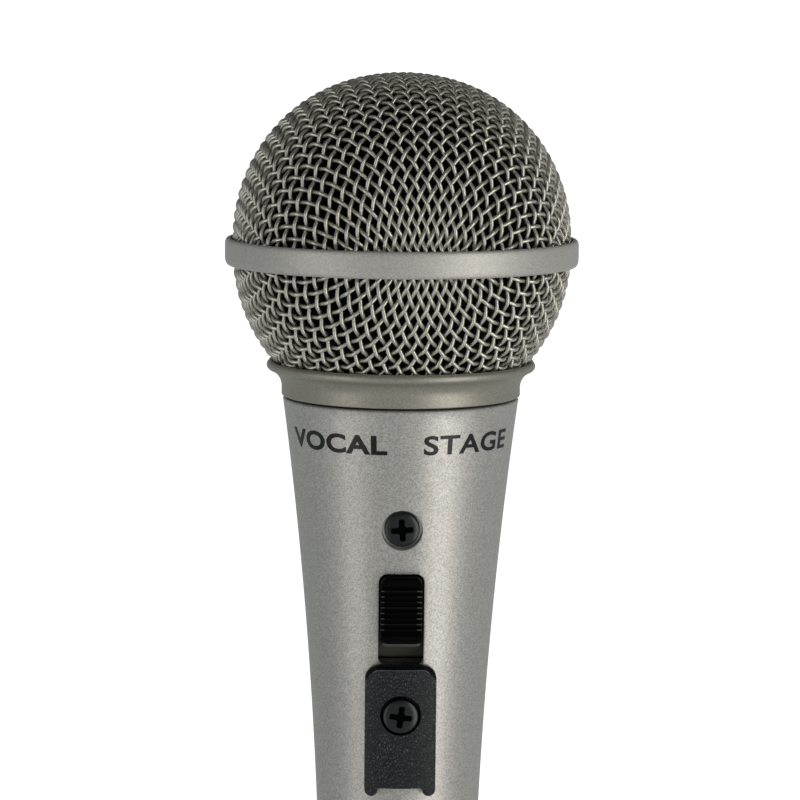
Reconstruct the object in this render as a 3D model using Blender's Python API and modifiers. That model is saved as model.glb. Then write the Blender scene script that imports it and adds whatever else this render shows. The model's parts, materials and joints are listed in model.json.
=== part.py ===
"""Handheld dynamic vocal microphone with a ball grille and a sliding on-off switch.

The microphone stands on its connector end. The origin is the centre of that end, +Z runs up the
axis to the ball, and the switch faces -Y. All sizes are in metres.
"""

import math

import bmesh
import bpy

# ---------------------------------------------------------------- driving sizes
TOTAL_LENGTH = 0.160
GAP = 0.0003  # clearance kept between neighbouring pieces

# Ball grille
BALL_RADIUS = 0.0259
DOME_FLAT = 0.0006  # how far the ball's top is pressed flat
MESH_THICKNESS = 0.0011
BAND_RADIUS = 0.0270
BAND_HEIGHT = 0.00475
FOAM_THICKNESS = 0.0025
DOME_CENTRE_Z = TOTAL_LENGTH + DOME_FLAT - BALL_RADIUS
BAND_MID_Z = DOME_CENTRE_Z - 0.0018
BOWL_CENTRE_Z = DOME_CENTRE_Z - 0.0020
BOWL_CUT_Z = BOWL_CENTRE_Z - 0.0186
FOAM_CUT_Z = BOWL_CENTRE_Z - 0.0163

# Threaded collar under the ball
COLLAR_BOTTOM_Z = 0.1113
COLLAR_TOP_Z = 0.1160
COLLAR_LEDGE_Z = 0.1137
COLLAR_BOTTOM_RADIUS = 0.0183
COLLAR_FLARE_START_Z = 0.1120
COLLAR_FLARE_RADIUS = 0.0028
COLLAR_LIP_RADIUS = 0.0007
COLLAR_LIP_CENTRE_RADIUS = 0.0199
COLLAR_BORE_RADIUS = 0.0156
WASHER_RADIUS = 0.0175
WASHER_GAP = 0.0002

# Handle
HANDLE_TOP_Z = 0.1104
HANDLE_TOP_RADIUS = 0.0181
HANDLE_END_RADIUS = 0.0117
HANDLE_TAPER_POWER = 2.3
HANDLE_WALL = 0.0024
NECK_RADIUS = 0.0153
NECK_BORE_RADIUS = 0.0134
NECK_TOP_Z = 0.1156
NECK_FLOOR_Z = 0.1030
SOCKET_RADIUS = 0.0081
SOCKET_DEPTH = 0.0225
EDGE = 0.0004  # small chamfer on turned edges

# Switch, its two screws and the lock plate, along the sloping front of the handle
SWITCH_Z = 0.0779
SLOT_WIDTH = 0.0069
SLOT_LENGTH = 0.0150
SLOT_CORNER = 0.0014
KNOB_WIDTH = 0.0065
KNOB_LENGTH = 0.0104
KNOB_TRAVEL = 0.0029
KNOB_REST = 0.0020  # height of the knob's middle above the slot's, switched on
KNOB_PROUD = 0.0012
KNOB_RIDGES = 9
KNOB_FLANGE_LENGTH = 0.0175
KNOB_FLANGE_WIDTH = 0.0080
SCREW_SPACING = 0.0285
SCREW_HEAD_RADIUS = 0.00265
SCREW_HEAD_HEIGHT = 0.0013
SCREW_SHANK_RADIUS = 0.0012
UPPER_SCREW_LENGTH = 0.0052
LOWER_SCREW_LENGTH = 0.0074
SCREW_RECESS_RADIUS = 0.0031
SCREW_RECESS_DEPTH = 0.0016
PLATE_WIDTH = 0.0108
PLATE_TOP = -0.0065  # along the switch's own axis, from the slot's middle
PLATE_BOTTOM = -0.0271
PLATE_CORNER = 0.0023
PLATE_PRONG_WIDTH = 0.0020
PLATE_PRONG_LENGTH = 0.0013
PLATE_PROUD = 0.0018
PLATE_RECESS_DEPTH = 0.0011

# Capsule
CAPSULE_RADIUS = 0.0142
CAPSULE_WALL = 0.0016
CAPSULE_FLOOR_Z = 0.1240
CAPSULE_RIM_Z = 0.1433
CAPSULE_FRONT_Z = 0.1478
CHAMBER_RADIUS = 0.0110
CHAMBER_BOTTOM_Z = 0.1008
POLE_RADIUS = 0.0074
COIL_INNER_RADIUS = 0.0079
COIL_OUTER_RADIUS = 0.0085

# Connector
PIN_RADIUS = 0.0012
PIN_CIRCLE_RADIUS = 0.0038
PIN_TIP_Z = 0.0025
INSERT_FACE_Z = 0.0150
INSERT_BACK_Z = 0.0218
SET_SCREW_Z = 0.0185
WIRE_RADIUS = 0.0006

ROUND_STEPS = 56
MEDIUM_STEPS = 36
SMALL_STEPS = 20

FINISHES = {  # colour, roughness, metallic
    "grille_paint": ((0.30, 0.29, 0.26), 0.42, 0.7),
    "handle_paint": ((0.42, 0.40, 0.37), 0.45, 0.6),
    "black_plastic": ((0.010, 0.010, 0.011), 0.38, 0.0),
    "textured_plastic": ((0.025, 0.027, 0.030), 0.55, 0.0),
    "black_steel": ((0.035, 0.035, 0.038), 0.35, 0.8),
    "bright_steel": ((0.55, 0.55, 0.55), 0.30, 1.0),
    "magnet_alloy": ((0.22, 0.22, 0.23), 0.50, 0.9),
    "gold": ((0.75, 0.55, 0.22), 0.25, 1.0),
    "copper": ((0.60, 0.26, 0.13), 0.35, 1.0),
    "clear_film": ((0.70, 0.68, 0.60), 0.20, 0.0),
    "foam": ((0.020, 0.020, 0.021), 0.95, 0.0),
    "felt": ((0.10, 0.10, 0.10), 0.95, 0.0),
    "rubber": ((0.015, 0.015, 0.015), 0.80, 0.0),
    "circuit_board": ((0.30, 0.18, 0.07), 0.55, 0.0),
    "wire_yellow": ((0.70, 0.52, 0.06), 0.45, 0.0),
    "wire_green": ((0.05, 0.28, 0.10), 0.45, 0.0),
    "wire_black": ((0.012, 0.012, 0.012), 0.45, 0.0),
}


# ---------------------------------------------------------------- scene helpers
def clear_scene():
    for obj in list(bpy.data.objects):
        bpy.data.objects.remove(obj)
    for name in ("microphone", "cutters"):
        collection = bpy.data.collections.new(name)
        bpy.context.scene.collection.children.link(collection)
    bpy.data.collections["cutters"].hide_render = True


def material(name):
    found = bpy.data.materials.get(name)
    if found:
        return found
    colour, roughness, metallic = FINISHES[name]
    made = bpy.data.materials.new(name)
    made.use_nodes = True
    shader = made.node_tree.nodes["Principled BSDF"]
    shader.inputs["Base Color"].default_value = (*colour, 1.0)
    shader.inputs["Roughness"].default_value = roughness
    shader.inputs["Metallic"].default_value = metallic
    made.diffuse_color = (*colour, 1.0)
    return made


def place(obj, finish=None, location=(0, 0, 0), rotation=(0, 0, 0), parent=None):
    """Links an object as a part of the microphone or, with no finish, as a cutter."""
    obj.location = location
    obj.rotation_euler = rotation
    obj.parent = parent
    if finish:
        obj.data.materials.append(material(finish))
        bpy.data.collections["microphone"].objects.link(obj)
    else:
        obj.hide_render = True
        obj.display_type = "WIRE"
        bpy.data.collections["cutters"].objects.link(obj)
    return obj


def mesh_object(name, bm):
    bmesh.ops.recalc_face_normals(bm, faces=bm.faces)
    mesh = bpy.data.meshes.new(name)
    bm.to_mesh(mesh)
    bm.free()
    return bpy.data.objects.new(name, mesh)


def cylinder(name, radius, low, high, steps=SMALL_STEPS, **where):
    """A cylinder along the object's own Z, from low to high."""
    bm = bmesh.new()
    bmesh.ops.create_cone(
        bm, cap_ends=True, segments=steps, radius1=radius, radius2=radius, depth=high - low
    )
    bmesh.ops.translate(bm, verts=bm.verts, vec=(0, 0, (low + high) / 2))
    return place(mesh_object(name, bm), **where)


def drill_set(name, places, radius, low, high, steps):
    """One cutter holding an upright cylinder at each place."""
    bm = bmesh.new()
    for x, y in places:
        made = bmesh.ops.create_cone(
            bm, cap_ends=True, segments=steps, radius1=radius, radius2=radius, depth=high - low
        )
        bmesh.ops.translate(bm, verts=made["verts"], vec=(x, y, (low + high) / 2))
    return place(mesh_object(name, bm))


def box(name, low, high, rounding=0.0, rounded_axis=None, **where):
    """A box between two corners. Rounding bevels all its edges, or only those along one axis."""
    bm = bmesh.new()
    bmesh.ops.create_cube(bm, size=1.0)
    size = [b - a for a, b in zip(low, high)]
    middle = [(a + b) / 2 for a, b in zip(low, high)]
    bmesh.ops.scale(bm, verts=bm.verts, vec=size)
    bmesh.ops.translate(bm, verts=bm.verts, vec=middle)
    if rounding:
        edges = [e for e in bm.edges if runs_along(e, rounded_axis)]
        bmesh.ops.bevel(
            bm, geom=edges, offset=rounding, segments=4, profile=0.5, affect="EDGES"
        )
    return place(mesh_object(name, bm), **where)


def runs_along(edge, axis):
    if axis is None:
        return True
    run = edge.verts[1].co - edge.verts[0].co
    return abs(run[axis]) > 0.99 * run.length


def turned(name, profile, steps=ROUND_STEPS, **where):
    """Turns (radius, z) points about Z. The profile runs down the outer side, and is a closed
    loop unless both its ends lie on the axis."""
    mesh = bpy.data.meshes.new(name)
    edges = [(i, i + 1) for i in range(len(profile) - 1)]
    if profile[0][0] > 0 or profile[-1][0] > 0:
        edges.append((len(profile) - 1, 0))
    mesh.from_pydata([(r, 0, z) for r, z in profile], edges, [])
    obj = place(bpy.data.objects.new(name, mesh), **where)
    screw = obj.modifiers.new("turn", "SCREW")
    screw.steps = steps
    screw.render_steps = steps
    screw.use_merge_vertices = True
    screw.merge_threshold = 1e-6
    screw.use_smooth_shade = False
    return obj


def arc(centre_radius, centre_z, radius, start, end, steps):
    """Points of an arc in a turned profile, angles in degrees from the outward direction."""
    angles = [math.radians(start + (end - start) * i / steps) for i in range(steps + 1)]
    return [
        (max(centre_radius + radius * math.cos(a), 0.0), centre_z + radius * math.sin(a))
        for a in angles
    ]


def boolean(target, other, operation="DIFFERENCE"):
    modifier = target.modifiers.new(other.name, "BOOLEAN")
    modifier.operation = operation
    modifier.object = other
    modifier.solver = "EXACT"
    return target


def outline(name, points, half_thickness, **where):
    """A flat closed outline in the object's XY plane, thickened both ways along its Z."""
    curve = bpy.data.curves.new(name, "CURVE")
    curve.dimensions = "2D"
    curve.fill_mode = "BOTH"
    curve.extrude = half_thickness
    spline = curve.splines.new("POLY")
    spline.points.add(len(points) - 1)
    for point, (x, y) in zip(spline.points, points):
        point.co = (x, y, 0, 1)
    spline.use_cyclic_u = True
    return meshed(place(bpy.data.objects.new(name, curve), **where))


def meshed(curve_object):
    """Makes a curve object a mesh object of the same name, place, parent and collection."""
    bpy.context.view_layer.update()
    graph = bpy.context.evaluated_depsgraph_get()
    mesh = bpy.data.meshes.new_from_object(curve_object.evaluated_get(graph))
    bm = bmesh.new()
    bm.from_mesh(mesh)
    bmesh.ops.remove_doubles(bm, verts=bm.verts, dist=1e-6)
    bmesh.ops.recalc_face_normals(bm, faces=bm.faces)
    bm.to_mesh(mesh)
    bm.free()
    name = curve_object.name
    made = bpy.data.objects.new(name + "_mesh", mesh)
    made.parent = curve_object.parent
    made.matrix_world = curve_object.matrix_world.copy()
    made.hide_render = curve_object.hide_render
    made.display_type = curve_object.display_type
    for collection in curve_object.users_collection:
        collection.objects.link(made)
    bpy.data.objects.remove(curve_object)
    made.name = name
    return made


def smooth_route(points, steps=8):
    """Catmull-Rom points through a wire's route."""
    padded = [points[0], *points, points[-1]]
    found = []
    for p0, p1, p2, p3 in zip(padded, padded[1:], padded[2:], padded[3:]):
        for i in range(steps):
            t = i / steps
            weights = (
                -0.5 * t + t**2 - 0.5 * t**3,
                1 - 2.5 * t**2 + 1.5 * t**3,
                0.5 * t + 2 * t**2 - 1.5 * t**3,
                -0.5 * t**2 + 0.5 * t**3,
            )
            found.append(
                tuple(
                    sum(w * p[axis] for w, p in zip(weights, (p0, p1, p2, p3)))
                    for axis in range(3)
                )
            )
    return [*found, points[-1]]


def wire(name, route, finish):
    curve = bpy.data.curves.new(name, "CURVE")
    curve.dimensions = "3D"
    curve.bevel_depth = WIRE_RADIUS
    curve.bevel_resolution = 2
    curve.use_fill_caps = True
    points = smooth_route(route, steps=5)
    spline = curve.splines.new("POLY")
    spline.points.add(len(points) - 1)
    for point, co in zip(spline.points, points):
        point.co = (*co, 1)
    return place(bpy.data.objects.new(name, curve), finish)


# ---------------------------------------------------------------- ball grille
def flattened(profile):
    """Presses the ball's top down, most at the pole and not at all at its middle."""
    shaped = []
    for radius, z in profile:
        lift = max(z - DOME_CENTRE_Z, 0.0) / BALL_RADIUS
        shaped.append((radius, z - DOME_FLAT * lift**6))
    return shaped


def grille_dome():
    inner = BALL_RADIUS - MESH_THICKNESS
    rim_z = BOWL_CENTRE_Z + GAP
    profile = flattened(arc(0, DOME_CENTRE_Z, BALL_RADIUS, 90, 0, 9))
    profile += [(BALL_RADIUS, rim_z), (inner, rim_z)]
    profile += flattened(arc(0, DOME_CENTRE_Z, inner, 0, 90, 8))
    turned("grille_dome", profile, MEDIUM_STEPS, finish="grille_paint")


def bowl_profile(radius, thickness, cut_z, steps):
    """A spherical strip under the ball's middle, cut off level at its foot."""
    inner = radius - thickness
    drop = BOWL_CENTRE_Z - cut_z
    outer_angle = -math.degrees(math.asin(drop / radius))
    inner_angle = -math.degrees(math.asin(drop / inner))
    return arc(0, BOWL_CENTRE_Z, radius, 0, outer_angle, steps) + arc(
        0, BOWL_CENTRE_Z, inner, inner_angle, 0, steps
    )


def grille_bowl():
    profile = bowl_profile(BALL_RADIUS, MESH_THICKNESS, BOWL_CUT_Z, 6)
    turned("grille_bowl", profile, MEDIUM_STEPS, finish="grille_paint")


def grille_band():
    inner = BALL_RADIUS + GAP
    edge = 0.0006
    top = BAND_MID_Z + BAND_HEIGHT / 2
    bottom = BAND_MID_Z - BAND_HEIGHT / 2
    centre = BAND_RADIUS - edge
    profile = [(inner, top)]
    profile += arc(centre, top - edge, edge, 90, 0, 3)
    profile += arc(centre, bottom + edge, edge, 0, -90, 3)
    profile += [(inner, bottom)]
    turned("grille_band", profile, finish="grille_paint")


def grille_collar():
    flare_centre = COLLAR_BOTTOM_RADIUS + COLLAR_FLARE_RADIUS
    lip_centre_z = COLLAR_TOP_Z - COLLAR_LIP_RADIUS
    mesh_clear = BALL_RADIUS + 1.2 * GAP
    ledge_radius = math.sqrt(mesh_clear**2 - (BOWL_CENTRE_Z - COLLAR_LEDGE_Z) ** 2)
    lip_inner_radius = math.sqrt(mesh_clear**2 - (BOWL_CENTRE_Z - COLLAR_TOP_Z) ** 2)
    profile = [(lip_inner_radius, COLLAR_TOP_Z)]
    profile += arc(COLLAR_LIP_CENTRE_RADIUS, lip_centre_z, COLLAR_LIP_RADIUS, 90, -70, 5)
    profile += arc(flare_centre, COLLAR_FLARE_START_Z, COLLAR_FLARE_RADIUS, 118, 180, 4)
    profile += [
        (COLLAR_BOTTOM_RADIUS, COLLAR_BOTTOM_Z + EDGE / 2),
        (COLLAR_BOTTOM_RADIUS - EDGE / 2, COLLAR_BOTTOM_Z),
        (COLLAR_BORE_RADIUS, COLLAR_BOTTOM_Z),
        (COLLAR_BORE_RADIUS, COLLAR_LEDGE_Z),
        (ledge_radius, COLLAR_LEDGE_Z),
    ]
    turned("grille_collar", profile, finish="grille_paint")
    washer_top = COLLAR_BOTTOM_Z - WASHER_GAP
    washer_bottom = HANDLE_TOP_Z + WASHER_GAP
    washer_bore = NECK_RADIUS + GAP
    turned(
        "collar_washer",
        [(washer_bore, washer_top), (WASHER_RADIUS, washer_top)]
        + [(WASHER_RADIUS, washer_bottom), (washer_bore, washer_bottom)],
        MEDIUM_STEPS,
        finish="rubber",
    )


def foam_liners():
    outer = BALL_RADIUS - MESH_THICKNESS - GAP
    inner = outer - FOAM_THICKNESS
    rim_z = BOWL_CENTRE_Z + GAP
    profile = flattened(arc(0, DOME_CENTRE_Z, outer, 90, 0, 8))
    profile += [(outer, rim_z), (inner, rim_z)]
    profile += flattened(arc(0, DOME_CENTRE_Z, inner, 0, 90, 7))
    turned("foam_dome", profile, MEDIUM_STEPS, finish="foam")
    strip = bowl_profile(outer, FOAM_THICKNESS, FOAM_CUT_Z, 5)
    turned("foam_bowl", strip, MEDIUM_STEPS, finish="foam")


# ---------------------------------------------------------------- handle
def handle_radius(z, offset=0.0):
    share = max(z, 0.0) / HANDLE_TOP_Z
    rise = (HANDLE_TOP_RADIUS - HANDLE_END_RADIUS) * share**HANDLE_TAPER_POWER
    return HANDLE_END_RADIUS + rise + offset


def handle_slope(z):
    """Angle between the handle's side and its axis at height z."""
    step = 0.001
    return math.atan2(handle_radius(z + step) - handle_radius(z - step), 2 * step)


def taper(high, low, steps, offset=0.0):
    heights = [high + (low - high) * i / steps for i in range(steps + 1)]
    return [(handle_radius(z, offset), z) for z in heights]


def switch_axes():
    """An empty on the handle's front at the switch. Its Z runs up the slope and its +Y inwards."""
    empty = bpy.data.objects.new("switch_axes", None)
    empty.location = (0, -handle_radius(SWITCH_Z), SWITCH_Z)
    empty.rotation_euler = (handle_slope(SWITCH_Z), 0, 0)
    bpy.data.collections["microphone"].objects.link(empty)
    return empty


def handle_shell(front):
    profile = [
        (NECK_BORE_RADIUS, NECK_TOP_Z),
        (NECK_RADIUS - EDGE, NECK_TOP_Z),
        (NECK_RADIUS, NECK_TOP_Z - EDGE),
        (NECK_RADIUS, HANDLE_TOP_Z),
        (HANDLE_TOP_RADIUS - EDGE, HANDLE_TOP_Z),
    ]
    profile += taper(HANDLE_TOP_Z - EDGE, EDGE, 11)
    profile += [
        (HANDLE_END_RADIUS - EDGE, 0),
        (SOCKET_RADIUS + EDGE, 0),
        (SOCKET_RADIUS, EDGE),
        (SOCKET_RADIUS, SOCKET_DEPTH),
    ]
    profile += taper(SOCKET_DEPTH + 0.0015, NECK_FLOOR_Z - 0.003, 5, -HANDLE_WALL)
    profile += [(NECK_BORE_RADIUS, NECK_FLOOR_Z)]
    shell = turned("handle_shell", profile, finish="handle_paint")

    half_slot = SLOT_LENGTH / 2
    slot = box(
        "slot_cutter",
        (-SLOT_WIDTH / 2, -0.003, -half_slot),
        (SLOT_WIDTH / 2, 0.0045, half_slot),
        SLOT_CORNER,
        1,
        parent=front,
    )
    boolean(shell, slot)
    outwards = (math.pi / 2, 0, 0)  # the cutter's own Z points out of the handle's front
    screw_places = (("upper", SCREW_SPACING / 2), ("lower", -SCREW_SPACING / 2))
    for name, height in screw_places:
        hole = cylinder(
            name + "_screw_hole_cutter",
            SCREW_SHANK_RADIUS + GAP,
            -0.006,
            0.004,
            location=(0, 0, height),
            rotation=outwards,
            parent=front,
        )
        boolean(shell, hole)
    recess = cylinder(
        "screw_recess_cutter",
        SCREW_RECESS_RADIUS,
        -SCREW_RECESS_DEPTH,
        0.004,
        location=(0, 0, SCREW_SPACING / 2),
        rotation=outwards,
        parent=front,
    )
    boolean(shell, recess)
    set_screw_hole = cylinder(
        "set_screw_hole_cutter",
        0.0016,
        0.006,
        0.014,
        location=(0, 0, SET_SCREW_Z),
        rotation=(-math.pi / 2, 0, 0),
    )
    boolean(shell, set_screw_hole)
    latch = box("latch_notch_cutter", (-0.0018, -0.0096, 0.0036), (0.0018, -0.0050, 0.0068))
    boolean(shell, latch)


# ---------------------------------------------------------------- switch
def knob_side():
    """The grip's outline seen from the side: how far inwards, and how high up the slope."""
    high = KNOB_LENGTH / 2
    ridge_zone = 0.66 * KNOB_LENGTH
    pitch = ridge_zone / KNOB_RIDGES
    root, crest = -0.55 * KNOB_PROUD, -0.8 * KNOB_PROUD
    points = [(-KNOB_PROUD, high - 0.0004), (-KNOB_PROUD, ridge_zone / 2 + 0.0004)]
    for i in range(KNOB_RIDGES):
        top = ridge_zone / 2 - i * pitch
        points += [(root, top), (crest, top - 0.35 * pitch), (crest, top - 0.65 * pitch)]
    points += [
        (root, -ridge_zone / 2),
        (-KNOB_PROUD, -ridge_zone / 2 - 0.0004),
        (-KNOB_PROUD, -high + 0.0004),
        (-KNOB_PROUD + 0.0010, -high - 0.0006),
        (0.0050, -high - 0.0006),
        (0.0050, high + 0.0006),
        (-KNOB_PROUD + 0.0010, high + 0.0006),
    ]
    return points


def switch_knob(front):
    """One moulding: a ridged finger grip, a flange behind the slot and a stem into the switch."""
    side_on = (math.pi / 2, 0, math.pi / 2)  # outline X inwards, outline Y up, thickness along X
    rest = (0, 0, KNOB_REST)
    knob = outline(
        "switch_knob",
        knob_side(),
        KNOB_WIDTH / 2 + 0.0010,
        finish="black_plastic",
        location=rest,
        rotation=side_on,
        parent=front,
    )
    grip = box(
        "knob_grip_tool",
        (-KNOB_WIDTH / 2, -0.0040, -KNOB_LENGTH / 2),
        (KNOB_WIDTH / 2, 0.0037, KNOB_LENGTH / 2),
        SLOT_CORNER,
        1,
        location=rest,
        parent=front,
    )
    boolean(knob, grip, "INTERSECT")
    flange = box(
        "knob_flange_tool",
        (-KNOB_FLANGE_WIDTH / 2, 0.0034, -KNOB_FLANGE_LENGTH / 2),
        (KNOB_FLANGE_WIDTH / 2, 0.0039, KNOB_FLANGE_LENGTH / 2),
        location=rest,
        parent=front,
    )
    boolean(knob, flange, "UNION")
    stem = box(
        "knob_stem_tool",
        (-0.0014, 0.0036, -0.0018),
        (0.0014, 0.0075, 0.0018),
        location=rest,
        parent=front,
    )
    boolean(knob, stem, "UNION")
    box(
        "switch_contact",
        (-0.0018, 0.0078, -0.0024),
        (0.0018, 0.0087, 0.0024),
        finish="bright_steel",
        location=rest,
        parent=front,
    )


def switch_bracket(front):
    """Folded steel strip behind the handle's wall, with a boss for each of the two screws."""
    reach = SCREW_SPACING / 2 + 0.0035
    strip = box(
        "switch_bracket",
        (-0.0040, 0.0043, -reach),
        (0.0040, 0.0053, reach),
        0.0010,
        1,
        finish="bright_steel",
        parent=front,
    )
    outwards = (math.pi / 2, 0, 0)
    for name, height in (("upper", SCREW_SPACING / 2), ("lower", -SCREW_SPACING / 2)):
        boss = cylinder(
            name + "_boss_tool",
            0.0026,
            -0.0045,
            -0.0030,
            location=(0, 0, height),
            rotation=outwards,
            parent=front,
        )
        boolean(strip, boss, "UNION")
        bore = cylinder(
            name + "_boss_bore_cutter",
            SCREW_SHANK_RADIUS + GAP,
            -0.0065,
            -0.0015,
            location=(0, 0, height),
            rotation=outwards,
            parent=front,
        )
        boolean(strip, bore)
    window = box(
        "bracket_window_cutter", (-0.0022, 0.0035, -0.0050), (0.0022, 0.0065, 0.0050), parent=front
    )
    boolean(strip, window)


def slide_switch(front):
    """The switch proper: a steel frame round a moulded body, with three solder terminals."""
    frame = box(
        "switch_frame",
        (-0.0037, 0.0056, -0.0090),
        (0.0037, 0.0088, 0.0090),
        0.0006,
        1,
        finish="bright_steel",
        parent=front,
    )
    hollow = box(
        "switch_frame_cutter", (-0.0023, 0.0050, -0.0052), (0.0023, 0.0095, 0.0052), parent=front
    )
    boolean(frame, hollow)
    box(
        "switch_body",
        (-0.0037, 0.0091, -0.0086),
        (0.0037, 0.0118, 0.0086),
        0.0004,
        1,
        finish="circuit_board",
        parent=front,
    )
    for name, height in (("upper", 0.0055), ("middle", 0.0), ("lower", -0.0055)):
        box(
            "switch_terminal_" + name,
            (-0.0010, 0.0121, height - 0.0003),
            (0.0010, 0.0145, height + 0.0003),
            finish="bright_steel",
            parent=front,
        )


def at_front(x, inwards, up):
    """World place of a point given along the switch's own axes."""
    slope = handle_slope(SWITCH_Z)
    return (
        x,
        -handle_radius(SWITCH_Z) + inwards * math.cos(slope) - up * math.sin(slope),
        SWITCH_Z + inwards * math.sin(slope) + up * math.cos(slope),
    )


def cross_head_screw(name, head_at, height, length, front):
    """Pan-head screw pointing into the handle, the head's underside at depth head_at."""
    head, shank = SCREW_HEAD_RADIUS, SCREW_SHANK_RADIUS
    crown = 0.45 * SCREW_HEAD_HEIGHT
    profile = [(0, SCREW_HEAD_HEIGHT), (0.5 * head, SCREW_HEAD_HEIGHT - 0.12 * crown)]
    profile += [(0.82 * head, SCREW_HEAD_HEIGHT - 0.45 * crown), (head, SCREW_HEAD_HEIGHT - crown)]
    profile += [(head, 0), (shank, 0), (shank, -length + 0.0005)]
    profile += [(0.6 * shank, -length), (0, -length)]
    outwards = (math.pi / 2, 0, 0)
    screw = turned(
        name,
        profile,
        SMALL_STEPS,
        finish="black_steel",
        location=(0, head_at, height),
        rotation=outwards,
        parent=front,
    )
    reach, half_slot = 0.0014, 0.00042
    for turn, (x, y) in enumerate(((reach, half_slot), (half_slot, reach))):
        slot = box(
            f"{name}_cross_cutter_{turn}",
            (-x, -y, SCREW_HEAD_HEIGHT - 0.0009),
            (x, y, SCREW_HEAD_HEIGHT + 0.001),
            location=(0, head_at, height),
            rotation=outwards,
            parent=front,
        )
        boolean(screw, slot)


def half_turn(centre_x, centre_y, radius, start, end, steps=6):
    angles = [math.radians(start + (end - start) * i / steps) for i in range(steps + 1)]
    return [(centre_x + radius * math.cos(a), centre_y + radius * math.sin(a)) for a in angles]


def plate_outline():
    """The lock plate from the front: round upper corners and a prong at each lower corner."""
    half, corner, prong = PLATE_WIDTH / 2, PLATE_CORNER, PLATE_PRONG_WIDTH / 2
    notch = PLATE_BOTTOM + PLATE_PRONG_LENGTH
    points = half_turn(half - corner, PLATE_TOP - corner, corner, 0, 90)
    points += half_turn(-half + corner, PLATE_TOP - corner, corner, 90, 180)
    points += half_turn(-half + prong, PLATE_BOTTOM + prong, prong, 180, 360)
    points += [(-half + 2 * prong, notch), (half - 2 * prong, notch)]
    points += half_turn(half - prong, PLATE_BOTTOM + prong, prong, 180, 360)
    return points


def lock_plate(front):
    """Moulded plate whose back and face both follow the handle's taper."""
    face_on = (math.pi / 2, 0, 0)
    plate = outline(
        "lock_plate",
        plate_outline(),
        0.0040,
        finish="textured_plastic",
        rotation=face_on,
        parent=front,
    )
    for name, offset, operation in (
        ("plate_face_tool", PLATE_PROUD, "INTERSECT"),
        ("plate_back_cutter", GAP, "DIFFERENCE"),
    ):
        sides = taper(0.085, 0.040, 10, offset)
        envelope = turned(name, [(0, 0.085), *sides, (0, 0.040)], 96)
        boolean(plate, envelope, operation)
    lower = -SCREW_SPACING / 2
    for name, radius, deepest in (
        ("plate_recess_cutter", SCREW_RECESS_RADIUS, PLATE_PROUD - PLATE_RECESS_DEPTH),
        ("plate_hole_cutter", SCREW_SHANK_RADIUS + GAP, -0.003),
    ):
        hole = cylinder(
            name,
            radius,
            deepest,
            0.005,
            location=(0, 0, lower),
            rotation=face_on,
            parent=front,
        )
        boolean(plate, hole)


# ---------------------------------------------------------------- capsule
def capsule():
    bore = CAPSULE_RADIUS - CAPSULE_WALL
    housing = [(bore, CAPSULE_RIM_Z), (CAPSULE_RADIUS, CAPSULE_RIM_Z)]
    housing += [(CAPSULE_RADIUS, CAPSULE_FLOOR_Z + 0.001), (CAPSULE_RADIUS - 0.001, CAPSULE_FLOOR_Z)]
    housing += [(0.0040, CAPSULE_FLOOR_Z), (0.0040, CAPSULE_FLOOR_Z + CAPSULE_WALL)]
    housing += [(bore, CAPSULE_FLOOR_Z + CAPSULE_WALL)]
    turned("capsule_housing", housing, MEDIUM_STEPS, finish="black_plastic")

    felt_bottom = CAPSULE_FLOOR_Z + CAPSULE_WALL + GAP
    yoke_bottom = felt_bottom + 0.0010 + GAP
    yoke_radius = bore - GAP
    turned(
        "rear_felt",
        [(0.0050, felt_bottom + 0.0010), (yoke_radius, felt_bottom + 0.0010)]
        + [(yoke_radius, felt_bottom), (0.0050, felt_bottom)],
        SMALL_STEPS,
        finish="felt",
    )
    gap_top = 0.1391
    gap_bottom = gap_top - 0.0020
    turned(
        "magnet_yoke",
        [(0.0106, gap_bottom - GAP), (yoke_radius, gap_bottom - GAP), (yoke_radius, yoke_bottom)]
        + [(0, yoke_bottom), (0, yoke_bottom + 0.0018), (0.0106, yoke_bottom + 0.0018)],
        MEDIUM_STEPS,
        finish="bright_steel",
    )
    turned(
        "gap_plate",
        [(0.0090, gap_top), (yoke_radius, gap_top), (yoke_radius, gap_bottom), (0.0090, gap_bottom)],
        MEDIUM_STEPS,
        finish="bright_steel",
    )
    magnet_bottom = yoke_bottom + 0.0018 + GAP
    cylinder("magnet", 0.0070, magnet_bottom, gap_bottom - GAP, finish="magnet_alloy")
    cylinder("pole_piece", POLE_RADIUS, gap_bottom, gap_top, finish="bright_steel")


def moving_coil():
    rim_z = 0.1414
    film = 0.0003
    turned(
        "voice_coil",
        [(COIL_INNER_RADIUS, 0.1407), (COIL_OUTER_RADIUS, 0.1407)]
        + [(COIL_OUTER_RADIUS, 0.1366), (COIL_INNER_RADIUS, 0.1366)],
        SMALL_STEPS,
        finish="copper",
    )
    crown = arc(0, rim_z - 0.0116, 0.0144, 90, 54, 5)
    roll = [(0.0102, rim_z + 0.0006), (0.0113, rim_z), (0.0121, rim_z)]
    top = crown + roll
    under = [(r, z - film) for r, z in reversed(top)]
    turned("diaphragm", top + under, MEDIUM_STEPS, finish="clear_film")


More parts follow.
